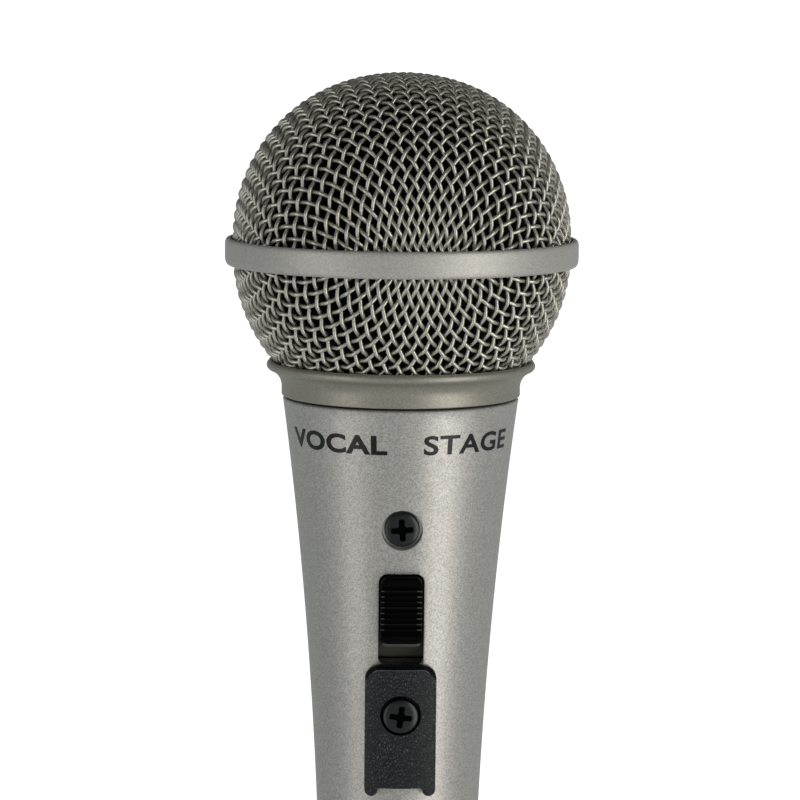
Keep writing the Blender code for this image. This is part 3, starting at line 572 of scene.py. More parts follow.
class HandleSettings(bpy.types.PropertyGroup):
    """The handle, its switch and its lock plate."""

    rim: size("Opening rim", "Width of the small rounding round each opening", 0.17 * MM)
    thread_pitch: size("Thread pitch", "Distance from one thread to the next", 1.0 * MM)
    ridges: bpy.props.IntProperty(
        name="Knob ridges", description="Cross ridges on the switch knob", default=8, min=1, max=20
    )
    plate_edge: size("Lock plate edge", "Rounding of the lock plate's edges", 0.35 * MM)


class FinishSettings(bpy.types.PropertyGroup):
    """The colours that an owner would choose. The band's and the collar's are the grille's paint given other
    brightnesses as painted light, the collar's darkened as painted shade under the ball.
    """

    grille: colour("Grille", "Paint of the woven wires", (0.51, 0.488, 0.425))
    band: colour("Band", "Paint of the ball's band", (0.465, 0.445, 0.412))
    collar: colour("Collar", "Paint of the collar, in the ball's shade", (0.305, 0.288, 0.240))
    handle: colour("Handle", "Paint of the handle", (0.435, 0.417, 0.390))
    plastic: colour("Black plastic", "Moulded knob and insert", (0.0016, 0.0016, 0.0018))
    lock_plate: colour("Lock plate", "Grained plastic of the lock plate", (0.042, 0.050, 0.055))


class StageSettings(bpy.types.PropertyGroup):
    """The studio round the microphone."""

    fill: level("Fill", "Strength of the soft light all round", 0.445)
    fill_above: level("Fill above", "Strength of the soft light straight overhead", 0.06)
    left: level("Left strip", "Power of the left strip light, in watts", 1.55)
    right: level("Right strip", "Power of the right strip light, in watts", 3.9)
    left_width: size("Left strip width", "Width of the left strip light", 0.30)
    right_width: size("Right strip width", "Width of the right strip light", 0.40)
    lens: level("Lens", "Focal length in millimetres", 146.4)
    turn: bpy.props.FloatProperty(
        name="Camera turn",
        description="How far the camera stands round the axis from the front",
        default=math.radians(-1.4),
        subtype="ANGLE",
    )


# ---------------------------------------------------------------- the ball
def quarter_net(step):
    """A net of equal cells on a unit sphere, from the pole outwards, in the quarter with X and Y over 0."""
    count = int(math.radians(100) / step) + 2
    net = {(0, 0): Vector((0, 0, 1))}
    for k in range(1, count):
        net[k, 0] = Vector((math.sin(k * step), 0, math.cos(k * step)))
        net[0, k] = Vector((0, math.sin(k * step), math.cos(k * step)))
    for i in range(count - 1):
        for j in range(count - 1):
            corner, beside, above = (net.get(key) for key in ((i, j), (i + 1, j), (i, j + 1)))
            if not (corner and beside and above):
                continue
            across = beside.cross(above).normalized()
            far = corner - 2 * corner.dot(across) * across
            if far.z > -0.2 and far.z < corner.z:
                net[i + 1, j + 1] = far
    return net


def wire_lines(net, first_way, radius, crimp, steps=6):
    """Each wire of one direction of the weave, as points that pass over and under the other direction."""
    reach = max(i for i, _ in net)
    side = 1 if first_way else -1
    for row in range(-reach, reach + 1):
        places = []
        for k in range(-reach, reach + 1):
            i, j = (k, row) if first_way else (row, k)
            found = net.get((abs(i), abs(j)))
            if found:
                signs = (-1 if i < 0 else 1, -1 if j < 0 else 1)
                places.append((k, Vector((signs[0] * found.x, signs[1] * found.y, found.z))))
        line = []
        for (k, here), (_, there) in zip(places, places[1:]):
            over = side * (-1) ** (k + row)
            for part in range(steps):
                share = part / steps
                height = radius + over * crimp * math.cos(math.pi * share)
                line.append(here.lerp(there, share).normalized() * height)
        yield line


def woven_half(name, ball, first_way, upper, low_z, high_z):
    """One direction of wires of the upper or lower half of the ball, cut off at two heights."""
    wire_radius = ball.wire / 2
    middle = BALL_RADIUS - ball.wire - 0.01 * MM
    net = quarter_net(ball.pitch / middle)
    centre_z = DOME_CENTRE_Z if upper else BOWL_CENTRE_Z
    turn = Matrix.Rotation(ball.weave_turn - math.radians(45) - math.pi / 2, 3, "Z")
    curve = bpy.data.curves.new(name, "CURVE")
    curve.dimensions = "3D"
    curve.bevel_depth = wire_radius
    curve.bevel_resolution = 1
    curve.use_fill_caps = True
    for line in wire_lines(net, first_way, middle, wire_radius):
        run = []
        for point in line + [None]:
            if point is not None:
                place = turn @ point
                place.z = centre_z + (place.z if upper else -place.z)
                if upper:
                    place.z -= DOME_FLAT * max((place.z - centre_z) / BALL_RADIUS, 0.0) ** 6
                if low_z <= place.z <= high_z:
                    run.append(place)
                    continue
            if len(run) > 2:
                spline = curve.splines.new("POLY")
                spline.points.add(len(run) - 1)
                for target, source in zip(spline.points, run):
                    target.co = (*source, 1)
                spline.use_smooth = True
            run = []
    obj = bpy.data.objects.new(name, curve)
    bpy.context.scene.collection.objects.link(obj)
    only(obj)
    bpy.ops.object.convert(target="MESH")
    return bpy.context.object


class MIC_OT_woven_ball(bpy.types.Operator):
    """Weaves the ball's upper and lower halves from round wires"""

    bl_idname = "mic.woven_ball"
    bl_label = "Woven Ball"

    def execute(self, context):
        ball = context.scene.mic_ball
        halves = (
            ("dome", True, DOME_FOOT_Z, BALL_TOP_Z, "grille_dome"),
            ("bowl", False, BOWL_FOOT_Z, BOWL_CENTRE_Z, "grille_bowl"),
        )
        for label, upper, low_z, high_z, node in halves:
            for direction, first_way in (("warp", True), ("weft", False)):
                obj = woven_half(f"{label}_{direction}_wires", ball, first_way, upper, low_z, high_z)
                if len(obj.data.polygons) < 1000:
                    raise RuntimeError(f"{obj.name} has too few wires")
                finish_piece(obj, "grille_paint", "grille", node)
        return {"FINISHED"}


def flattened(profile):
    return [(r, z - DOME_FLAT * max((z - DOME_CENTRE_Z) / BALL_RADIUS, 0.0) ** 6) for r, z in profile]


class MIC_OT_foam_lining(bpy.types.Operator):
    """Lines both halves of the ball with dark open-cell foam"""

    bl_idname = "mic.foam_lining"
    bl_label = "Foam Lining"

    def execute(self, context):
        rim_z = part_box("foam_dome")[0].z
        dome = flattened(arc(0, DOME_CENTRE_Z, FOAM_OUTER, 90, 0, 30))
        dome += [(FOAM_OUTER, rim_z), (FOAM_INNER, rim_z)]
        dome += flattened(arc(0, DOME_CENTRE_Z, FOAM_INNER, 0, 90, 24))
        drop = BOWL_CENTRE_Z - FOAM_FOOT_Z
        outer_end = -math.degrees(math.asin(drop / FOAM_OUTER))
        inner_end = -math.degrees(math.asin(drop / FOAM_INNER))
        bowl = arc(0, BOWL_CENTRE_Z, FOAM_OUTER, 0, outer_end, 18)
        bowl += arc(0, BOWL_CENTRE_Z, FOAM_INNER, inner_end, 0, 16)
        for name, profile, node in (("dome_foam", dome, "foam_dome"), ("bowl_foam", bowl, "foam_bowl")):
            foam = turned(name, profile, 120, sharp=60)
            cells = bpy.data.textures.new(name + "_cells", "CLOUDS")
            cells.noise_scale = 1.1 * MM
            apply_modifier(foam, "DISPLACE", texture=cells, strength=0.35 * MM, mid_level=1.0)
            finish_piece(foam, "foam", "grille", node)
        return {"FINISHED"}


class MIC_OT_band_and_collar(bpy.types.Operator):
    """Turns the ball's band, the flared collar under it and the washer that it closes on"""

    bl_idname = "mic.band_and_collar"
    bl_label = "Band and Collar"

    def execute(self, context):
        ball = context.scene.mic_ball
        outer, inner = BAND_HIGH.x, BALL_RADIUS + 0.3 * MM
        top, bottom = BAND_HIGH.z - 0.55 * MM, BAND_LOW.z + 0.20 * MM
        upper, lower = ball.band_edge_top, ball.band_edge_bottom
        flat = 0.45  # how much of an edge's radius its rounding takes from the band's thickness
        profile = [(inner, top), (outer - flat * upper - 0.15 * MM, top)]
        profile += squashed_corner(outer, top, flat * upper, -upper, 8)
        profile += squashed_corner(outer, bottom, flat * lower, lower, 8)[::-1]
        profile += [(outer - flat * lower - 0.15 * MM, bottom), (inner, bottom)]
        band = turned("ball_band", profile, 240)
        finish_piece(band, "grille_paint", "grille", "grille_band", finish="band_painted_light")
        # The collar's paint is the grille's paint darkened, a painted shade under the ball.
        collar = turned("ball_collar", collar_profile(), 240, sharp=30)
        finish_piece(collar, "grille_paint", "grille", "grille_collar", finish="collar_painted_shade")
        edge = 0.12 * MM
        bore, rim = 15.6 * MM, WASHER_HIGH.x
        ring = [(bore, WASHER_HIGH.z), (rim - edge, WASHER_HIGH.z), (rim, WASHER_HIGH.z - edge)]
        ring += [(rim, WASHER_LOW.z + edge), (rim - edge, WASHER_LOW.z), (bore, WASHER_LOW.z)]
        washer = turned("sealing_washer", ring, 120)
        finish_piece(washer, "rubber", "collar_washer", "collar_washer")
        return {"FINISHED"}


def squashed_corner(outer, z, inwards, along, steps):
    """An elliptical edge from the flat end at height z to the outer wall."""
    angles = [math.radians(90 * i / steps) for i in range(steps + 1)]
    return [(outer - inwards * (1 - math.sin(a)), z + along * (1 - math.cos(a))) for a in angles]


def collar_profile():
    bottom, top = COLLAR_LOW.z, COLLAR_HIGH.z
    base_radius, bore = 18.3 * MM, 15.6 * MM
    flare_radius, flare_z = 2.8 * MM, 112.0 * MM
    lip_radius, lip_at = 0.7 * MM, 19.9 * MM
    ledge_z = 113.7 * MM
    seat = 26.26 * MM  # radius of the hollow that the ball sits in
    edge = 0.2 * MM
    ledge_radius = math.sqrt(seat**2 - (BOWL_CENTRE_Z - ledge_z) ** 2)
    lip_inside = math.sqrt(seat**2 - (BOWL_CENTRE_Z - top) ** 2)
    profile = [(lip_inside, top)]
    profile += arc(lip_at, top - lip_radius, lip_radius, 90, -70, 14)
    profile += arc(base_radius + flare_radius, flare_z, flare_radius, 118, 180, 14)
    skirt_foot = HANDLE_TOP_Z + 0.32 * MM
    skirt_inside = WASHER_HIGH.x + 0.2 * MM
    profile += arc(base_radius - edge, skirt_foot + edge, edge, 0, -90, 4)
    profile += [(skirt_inside, skirt_foot), (skirt_inside, bottom)]
    groove = 0.25 * MM
    profile += [(bore + groove, bottom), (bore, bottom + groove)]
    profile += [(bore, ledge_z), (ledge_radius, ledge_z)]
    return profile


# ---------------------------------------------------------------- the handle
def handle_profile():
    edge = 0.4 * MM
    profile = [(NECK_BORE, NECK_TOP_Z), (NECK_RADIUS - edge, NECK_TOP_Z), (NECK_RADIUS, NECK_TOP_Z - edge)]
    profile += [(NECK_RADIUS, HANDLE_TOP_Z)]
    profile += arc(HANDLE_TOP_RADIUS - edge, HANDLE_TOP_Z - edge, edge, 90, 10, 5)
    rows = 66
    high, low = HANDLE_TOP_Z - edge, edge
    profile += [(handle_radius(z), z) for z in (high + (low - high) * i / rows for i in range(rows + 1))]
    profile += arc(HANDLE_END_RADIUS - edge, edge, edge, -10, -90, 5)
    profile += arc(SOCKET_RADIUS + edge, edge, edge, -90, -180, 4)
    profile += [(SOCKET_RADIUS, SOCKET_DEPTH)]
    start, end = SOCKET_DEPTH + 1.5 * MM, NECK_FLOOR_Z - 3.0 * MM
    inside = [start + (end - start) * i / 12 for i in range(13)]
    profile += [(handle_radius(z) - HANDLE_WALL, z) for z in inside]
    profile += [(NECK_BORE, NECK_FLOOR_Z)]
    return profile


def soften_openings(obj, width, boxes):
    """Rounds the sharp outer rims of the openings in these boxes, and returns the faces of the rounding."""
    normals = {}
    for face in obj.data.polygons:
        for key in face.edge_keys:
            normals.setdefault(key, []).append(face.normal.copy())

    def on_sharp_rim(edge):
        a, b = (obj.data.vertices[i].co for i in edge.vertices)
        middle = (a + b) / 2
        sides = normals.get(edge.key, [])
        on_surface = abs(math.hypot(middle.x, middle.y) - handle_radius(middle.z)) < 0.06 * MM
        near = any(all(l <= c <= h for l, c, h in zip(low, middle, high)) for low, high in boxes)
        return len(sides) == 2 and on_surface and near and sides[0].angle(sides[1], 0) > math.radians(35)

    edit_chosen(obj, "EDGE", on_sharp_rim)
    bpy.ops.mesh.bevel(offset=width, segments=2, affect="EDGES", clamp_overlap=True)
    bpy.ops.mesh.select_mode(type="FACE")
    bpy.ops.object.mode_set(mode="OBJECT")
    rims = [face.index for face in obj.data.polygons if face.select]
    edit_all()
    close_edit()
    return rims


class MIC_OT_handle(bpy.types.Operator):
    """Turns the tapered handle and cuts its slot, screw holes, latch notch and neck"""

    bl_idname = "mic.handle"
    bl_label = "Handle"

    def execute(self, context):
        settings = context.scene.mic_handle
        handle = turned("handle_tube", handle_profile(), 192)
        half = SLOT_LENGTH / 2
        low, high = (-SLOT_WIDTH / 2, -3 * MM, -half), (SLOT_WIDTH / 2, 4.5 * MM, half)
        combine(handle, move(block("slot_tool", low, high, SLOT_CORNER), FRONT))
        for up in (SCREW_UP, -SCREW_UP):
            hole = rod("screw_hole_tool", SCREW_HOLE_RADIUS, -6 * MM, 4 * MM, 32)
            combine(handle, move(hole, FRONT @ Matrix.Translation((0, 0, up)) @ OUTWARDS))
        recess = rod("recess_tool", RECESS_RADIUS, -RECESS_DEPTH, 4 * MM)
        combine(handle, move(recess, FRONT @ Matrix.Translation((0, 0, SCREW_UP)) @ OUTWARDS))
        back_hole = rod("set_screw_tool", SET_SCREW_RADIUS, 6 * MM, 14 * MM, 40)
        inwards = Matrix.Translation((0, 0, SET_SCREW_Z)) @ Matrix.Rotation(-math.pi / 2, 4, "X")
        combine(handle, move(back_hole, inwards))
        combine(handle, block("latch_tool", LATCH_LOW, LATCH_HIGH))
        reach = 24 * MM
        front_area = ((-6 * MM, -20 * MM, SWITCH_Z - reach), (6 * MM, 0, SWITCH_Z + reach))
        back_area = ((-3 * MM, 5 * MM, 14 * MM), (3 * MM, 14 * MM, 23 * MM))
        rims = soften_openings(handle, settings.rim, (front_area, back_area))
        smooth(handle, 30)
        finish_piece(handle, "handle_paint", "handle", "handle_shell")
        add_finishes(handle, "bright_steel", "slot_wall", "rim_painted_highlight")
        for face in handle.data.polygons:
            face.material_index = handle_finish(face.center, face.normal)
        # The roundings round the openings take the lighter rim paint as a painted highlight.
        for index in rims:
            handle.data.polygons[index].material_index = 3
        thread = neck_thread(settings.thread_pitch)
        finish_piece(thread, "handle_paint", "handle", finish="bright_steel")
        return {"FINISHED"}


def handle_finish(place, normal):
    """Which finish a place on the handle has: 0 for paint, 1 for bare metal, 2 for the slot's walls."""
    radius = math.hypot(place.x, place.y)
    painted = handle_radius(place.z) - radius < 0.4 * MM and place.z < HANDLE_TOP_Z
    bare = place.z > HANDLE_TOP_Z + 0.01 * MM or (radius < NECK_RADIUS and place.z > 30 * MM)
    if painted or not bare:
        return 0
    in_slot = place.y < 0 and abs(place.x) < 4 * MM and place.z < 96 * MM
    return 2 if in_slot and normal.y > -0.6 else 1


def neck_thread(pitch):
    """The thread on the neck: a ridge wound round it, fading out at both ends."""
    root, crest = NECK_RADIUS - 0.05 * MM, 15.52 * MM
    low, high = HANDLE_TOP_Z + 0.45 * MM, NECK_TOP_Z - 0.75 * MM
    half = 0.36 * MM
    section = [(root, 0, low - half), (crest, 0, low), (root, 0, low + half)]
    obj = draw_outline("neck_thread", [*section, section[0]])
    bpy.ops.mesh.select_all(action="SELECT")
    bpy.ops.mesh.remove_doubles(threshold=0.002 * MM)
    bpy.ops.object.mode_set(mode="OBJECT")
    turns = (high - low) / pitch
    apply_modifier(
        obj,
        "SCREW",
        angle=2 * math.pi * turns,
        screw_offset=high - low,
        steps=round(96 * turns),
        render_steps=round(96 * turns),
        use_merge_vertices=False,
        use_normal_calculate=True,
    )
    only(obj)
    edit_all()
    bpy.ops.mesh.select_all(action="DESELECT")
    bpy.ops.mesh.select_non_manifold()
    bpy.ops.mesh.edge_face_add()
    tidy_surface()
    smooth(obj, 50)
    return obj


# ---------------------------------------------------------------- switch, lock plate and screws
KNOB_WIDTH, KNOB_LENGTH, KNOB_PROUD = 6.15 * MM, 10.4 * MM, 1.2 * MM
KNOB_REST = 2.0 * MM
RIDGE_ZONE = 0.66 * KNOB_LENGTH
FLANGE_CORNERS = (-4.0 * MM, 3.4 * MM, -8.75 * MM), (4.0 * MM, 3.9 * MM, 8.75 * MM)
STEM_CORNERS = (-1.4 * MM, 3.9 * MM, -1.8 * MM), (1.4 * MM, 7.5 * MM, 1.8 * MM)
SILL_CORNERS = (-3.0 * MM, 1.0 * MM, -6.3 * MM), (3.0 * MM, 3.45 * MM, -5.15 * MM)
WORN_GLINT_LEFT, WORN_GLINT_RIGHT = -2.6 * MM, 2.35 * MM  # the ridges' ends beyond these get dust and more gloss: wear, and a painted glint


def knob_side(ridges):
    """The knob from the side: how far outwards and how high up, with its ridges in a shallow dish."""
    half = KNOB_LENGTH / 2
    pitch = RIDGE_ZONE / ridges
    dish = 0.10 * MM
    points = [(KNOB_PROUD - 0.28 * MM, half), (KNOB_PROUD - 0.06 * MM, half - 0.18 * MM)]
    points += [(KNOB_PROUD, half - 0.45 * MM), (KNOB_PROUD, RIDGE_ZONE / 2 + 0.45 * MM)]
    for i in range(ridges):
        top = RIDGE_ZONE / 2 - i * pitch
        middle = (top - pitch / 2) / (RIDGE_ZONE / 2)
        sink = dish * (1 - middle**2)
        root, crest = 0.60 * MM - sink, 0.98 * MM - sink
        points += [(root, top - 0.08 * pitch), (crest - 0.06 * MM, top - 0.30 * pitch)]
        points += [(crest, top - 0.50 * pitch), (crest - 0.06 * MM, top - 0.70 * pitch)]
        points += [(root, top - 0.92 * pitch)]
    points += [(KNOB_PROUD, -RIDGE_ZONE / 2 - 0.45 * MM), (KNOB_PROUD, -half + 0.55 * MM)]
    points += [(KNOB_PROUD - 0.12 * MM, -half + 0.25 * MM), (KNOB_PROUD - 0.55 * MM, -half)]
    points += [(-3.7 * MM, -half), (-3.7 * MM, half)]
    return points


def crest_sheen_and_wear(place, ridges):
    """Which mark a place on the knob gets: 2 at a crest's ends, dusted and glossier as wear and a painted
    glint, 1 along every third crest, a painted sheen line, and 0 elsewhere.
    """
    along = (RIDGE_ZONE / 2 - place.z) / (RIDGE_ZONE / ridges)
    if abs(along % 1.0 - 0.40) > 0.09 or abs(place.z) > RIDGE_ZONE / 2:
        return 0
    if place.x > WORN_GLINT_RIGHT or place.x < WORN_GLINT_LEFT:
        return 2
    return 1 if int(along) % 3 == 0 else 0


class MIC_OT_switch_knob(bpy.types.Operator):
    """Moulds the ridged sliding knob with its hidden flange and stem"""

    bl_idname = "mic.switch_knob"
    bl_label = "Switch Knob"

    def execute(self, context):
        half = KNOB_WIDTH / 2
        ridges = context.scene.mic_handle.ridges
        side = slab("switch_slider", knob_side(ridges), -half, half)
        # outline X outwards, outline Y up the slope, thickness across
        upright = Matrix(((0, 0, 1, 0), (-1, 0, 0, 0), (0, 1, 0, 0), (0, 0, 0, 1)))
        knob = move(side, upright)
        slice_across(knob, 0, (WORN_GLINT_LEFT, WORN_GLINT_RIGHT))
        low, high = (-half, -4 * MM, -KNOB_LENGTH / 2), (half, 3.7 * MM, KNOB_LENGTH / 2)
        combine(knob, block("knob_corner_tool", low, high, SLOT_CORNER * 0.8), "INTERSECT")
        round_edges(knob, 0.10 * MM, 2, 50)
        smooth(knob, 40)
        flange = block("slider_flange", *FLANGE_CORNERS, 0.8 * MM)
        stem = block("slider_stem", *STEM_CORNERS, 0.3 * MM)
        sill = block("slider_sill", *SILL_CORNERS, 0.5 * MM)
        round_edges(flange, 0.08 * MM, 2, 50)
        round_edges(sill, 0.12 * MM, 2, 50)
        only(knob)
        for part in (flange, stem, sill):
            part.select_set(True)
        bpy.ops.object.join()
        move(knob, FRONT @ Matrix.Translation((0, 0, KNOB_REST)))
        finish_piece(knob, "black_plastic", "switch", "switch_knob")
        add_finishes(knob, "slot_floor_painted_light", "soft_black", "worn_plastic_painted_glint")
        to_front = FRONT.inverted()
        for face in knob.data.polygons:
            middle = to_front @ face.center
            on_flange = 3.2 * MM < middle.y < 3.5 * MM
            on_sill = middle.z < KNOB_REST - 5.21 * MM and middle.y < 3.4 * MM
            crest_mark = crest_sheen_and_wear(middle - Vector((0, 0, KNOB_REST)), ridges)
            # The flange and sill take the lighter brown-grey, painted reflected light on black plastic.
            if on_flange or on_sill:
                face.material_index = 1
            elif crest_mark > 0:
                face.material_index = 1 + crest_mark
        return {"FINISHED"}


PLATE_SLOPE_WIDTH = 0.75 * MM  # of the bevel along the plate's top edge


def plate_outline():
    """The lock plate from the front: round upper corners and a prong at each lower corner."""
    half, corner, prong, prong_length = 5.4 * MM, 2.3 * MM, 1.0 * MM, 1.3 * MM
    top, bottom = -6.5 * MM, -27.1 * MM
    points = arc(half - corner, top - corner, corner, 0, 90, 10)
    points += arc(-half + corner, top - corner, corner, 90, 180, 10)
    points += arc(-half + prong, bottom + prong, prong, 180, 360, 12)
    points += [(-half + 2 * prong, bottom + prong_length), (half - 2 * prong, bottom + prong_length)]
    points += arc(half - prong, bottom + prong, prong, 180, 360, 12)
    return points


def shape_plate_edges(plate, face, edge):
    """Insets the face in rings along the outline, then rounds its sides and slopes its top edge."""
    edit_chosen(plate, "FACE", lambda polygon: polygon.center.z > face - 0.01 * MM)
    for step in (0.08, 0.10, 0.14, 0.18, 0.14, 0.11):
        bpy.ops.mesh.inset(thickness=step * MM)
    close_edit()
    sides = plate_sides()
    slope_drop = 0.55 * MM
    for vertex in plate.data.vertices:
        if vertex.co.z < face - 0.01 * MM:
            continue
        here = vertex.co.xy
        depth = distance_to_sides(here, sides)
        rounding = max(edge - depth, 0.0)
        side_drop = edge - math.sqrt(edge**2 - rounding**2)
        top_drop = slope_drop * max(1.0 - depth / PLATE_SLOPE_WIDTH, 0.0)
        share = min(max((here.y + 8.9 * MM) / (1.6 * MM), 0.0), 1.0)
        vertex.co.z -= side_drop * (1 - share) + top_drop * share


def plate_sides():
    outline = [Vector((x, y)) for x, y in plate_outline()]
    return list(zip(outline, outline[1:] + outline[:1]))


def distance_to_sides(point, sides):
    """How far a point lies from the nearest side of an outline."""
    lengths = []
    for start, end in sides:
        along = end - start
        share = (point - start).dot(along) / along.length_squared
        lengths.append((point - start - along * min(max(share, 0.0), 1.0)).length)
    return min(lengths)


def drape(obj):
    """Bends a flat piece onto the handle: X and Y stay, and Z becomes its distance from the handle's side."""
    slope = handle_slope(SWITCH_Z)
    for vertex in obj.data.vertices:
        x, up, off = vertex.co
        z = SWITCH_Z + up * math.cos(slope)
        vertex.co = (x, -math.sqrt((handle_radius(z) + off) ** 2 - x * x), z)


def slice_across(obj, axis, places):
    """Adds a line of points across the piece at each place, so that it can bend there."""
    only(obj)
    edit_all()
    for place in places:
        point, normal = Vector(), Vector()
        point[axis], normal[axis] = place, 1.0
        bpy.ops.mesh.select_all(action="SELECT")
        bpy.ops.mesh.bisect(plane_co=point, plane_no=normal)
    bpy.ops.object.mode_set(mode="OBJECT")


class MIC_OT_lock_plate(bpy.types.Operator):
    """Moulds the grained lock plate that follows the handle's curve, with its screw recess"""

    bl_idname = "mic.lock_plate"
    bl_label = "Lock Plate"

    def execute(self, context):
        edge = context.scene.mic_handle.plate_edge
        back, face = 0.3 * MM, 1.8 * MM
        plate = slab("lock_plate_cover", plate_outline(), back, face)
        shape_plate_edges(plate, face, edge)
        recess = rod("plate_recess_tool", RECESS_RADIUS, face - 1.1 * MM, 5 * MM)
        combine(plate, move(recess, Matrix.Translation((0, -SCREW_UP, 0))))
        hole = rod("plate_hole_tool", SCREW_HOLE_RADIUS, -1 * MM, 3 * MM, 32)
        combine(plate, move(hole, Matrix.Translation((0, -SCREW_UP, 0))))
        slice_across(plate, 0, [x * 0.45 * MM for x in range(-11, 12)])
        slice_across(plate, 1, [-(7 + 1.5 * i) * MM for i in range(14)])
        drape(plate)
        only(plate)
        edit_all()
        tidy_surface()
        smooth(plate, 24)
        finish_piece(plate, "textured_plastic", "handle", "lock_plate")
        add_finishes(plate, "soft_black", "plate_edge_painted_highlight")
        sides = plate_sides()
        slope = math.cos(handle_slope(SWITCH_Z))
        for polygon in plate.data.polygons:
            centre = polygon.center
            here = Vector((centre.x, (centre.z - SWITCH_Z) / slope))
            proud = math.hypot(centre.x, centre.y) - handle_radius(centre.z)
            depth = distance_to_sides(here, sides)
            near_top = min(max((here.y + 9.8 * MM) / (2.2 * MM), 0.0), 1.0)
            # The plate's top bevel is painted near black as shade.
            if proud > 1.0 * MM and depth < PLATE_SLOPE_WIDTH * near_top:
                # Index 2 is the lighter line along the bevel's crease, a painted highlight.
                polygon.material_index = 2 if depth > 0.66 * MM * near_top else 1
            # The screw recess's wall is painted near black as shade.
            if (here + Vector((0, SCREW_UP))).length < RECESS_RADIUS + 0.02 * MM:
                polygon.material_index = 1
        return {"FINISHED"}


def cross_head_screw(name, length):
    """A pan-head screw along Z, the underside of its head at 0, with a tapered cross in its head."""
    head, shank, tall = SCREW_HEAD_RADIUS, 1.2 * MM, SCREW_HEAD_HEIGHT
    crown = 0.5 * MM
    profile = [(0, tall)]
    for i in range(1, 9):
        share = i / 9
        profile.append((0.93 * head * share, tall - crown * 0.55 * share**2.6))
    profile += arc(head - 0.28 * MM, tall - crown - 0.10 * MM, 0.28 * MM, 70, 0, 5)
    profile += [(head, 0.12 * MM), (head - 0.12 * MM, 0), (shank, 0)]
    threads = int((length - 0.6 * MM) / (0.5 * MM))
    for i in range(threads):
        z = -0.3 * MM - i * 0.5 * MM
        profile += [(shank, z), (0.86 * shank, z - 0.25 * MM)]
    profile += [(0.6 * shank, -length), (0, -length)]
    screw = turned(name, profile, 72, sharp=30)
    for turn in (0, math.pi / 2):
        low, high = (-1.75 * MM, -0.46 * MM, tall - 0.95 * MM), (1.75 * MM, 0.46 * MM, tall + 0.2 * MM)
        wing = block("wing_tool", low, high, 0.26 * MM, axis=2, segments=3)
        for vertex in wing.data.vertices:
            if vertex.co.z < tall - 0.5 * MM:
                vertex.co.x *= 0.72
                vertex.co.y *= 0.85
        combine(screw, move(wing, Matrix.Rotation(turn, 4, "Z")))
    bpy.ops.object.select_all(action="DESELECT")
    bpy.ops.mesh.primitive_cone_add(
        vertices=4, radius1=0.15 * MM, radius2=0.95 * MM, depth=1.1 * MM, location=(0, 0, tall - 0.45 * MM)
    )
    well_place = Matrix.Translation((0, 0, tall - 0.45 * MM)) @ Matrix.Rotation(math.pi / 4, 4, "Z")
    combine(screw, move(bpy.context.object, well_place))
    smooth(screw, 30)
    return screw


class MIC_OT_screws(bpy.types.Operator):
    """Turns the two cross-head screws of the switch"""

    bl_idname = "mic.screws"
    bl_label = "Screws"

    def execute(self, context):
        places = (
            ("switch_screw", "upper_screw", SCREW_UP, 1.3 * MM, 5.2 * MM, 4),
            ("plate_screw", "lock_plate_screw", -SCREW_UP, -1.0 * MM, 7.4 * MM, -7),
        )
        for name, node, up, depth, length, turn in places:
            screw = cross_head_screw(name, length)
            add_finishes(screw, "black_steel", "screw_recess_painted_shade")
            # Faces down inside the cross recess are painted near black as shade.
            for face in screw.data.polygons:
                out = face.center.xy.length
                crown = 0.28 * MM * (out / (0.93 * SCREW_HEAD_RADIUS)) ** 2.6
                if out < 1.85 * MM and 0 < face.center.z < SCREW_HEAD_HEIGHT - crown - 0.07 * MM:
                    face.material_index = 1
            spun = Matrix.Rotation(math.radians(turn), 4, "Z")
            move(screw, FRONT @ Matrix.Translation((0, depth, up)) @ OUTWARDS @ spun)
            finish_piece(screw, "black_steel", "handle", node)
        return {"FINISHED"}


# ---------------------------------------------------------------- plain words
# Each word: its letters, its middle's angle from the front, its width and its strokes' extra weight.
WORDS = (("VOCAL", -37.7, 18.2 * MM, 0.15 * MM), ("STAGE", 37.2, 16.4 * MM, 0.10 * MM))
LETTER_FOOT_Z, LETTER_HEIGHT = 103.6 * MM, 3.0 * MM


class MIC_OT_handle_words(bpy.types.Operator):
    """Prints a plain word on each side of the handle's top"""

    bl_idname = "mic.handle_words"
    bl_label = "Handle Words"

    def execute(self, context):
        for word, middle, width, weight in WORDS:
            style = {"offset": weight, "resolution_u": 5, "space_character": 1.06}
            letters = lettering("word_" + word.lower(), word, 4.2 * MM, 0.015 * MM, **style)
            edit_all()
            tidy_surface()
            fit_letters(letters, width)
            slice_across(letters, 0, [x * 0.7 * MM for x in range(-14, 15)])
            wrap_on_handle(letters, math.radians(middle))
            finish_piece(letters, "black_plastic", "handle", finish="print_ink")
        return {"FINISHED"}


def lettering(name, words, size, thickness, **style):
    """Flat letters as a mesh."""
    bpy.ops.object.select_all(action="DESELECT")
    bpy.ops.object.text_add()
    text = bpy.context.object
    text.name = name
    for key, value in {"body": words, "size": size, "extrude": thickness, **style}.items():
        setattr(text.data, key, value)
    bpy.ops.object.convert(target="MESH")
    return bpy.context.object


def fit_letters(letters, width):
    """Centres the word and gives it its width and height."""
    points = [vertex.co.copy() for vertex in letters.data.vertices]
    left, right = min(p.x for p in points), max(p.x for p in points)
    foot, top = min(p.y for p in points), max(p.y for p in points)
    for vertex in letters.data.vertices:
        vertex.co.x = (vertex.co.x - (left + right) / 2) * width / (right - left)
        vertex.co.y = (vertex.co.y - foot) * LETTER_HEIGHT / (top - foot)


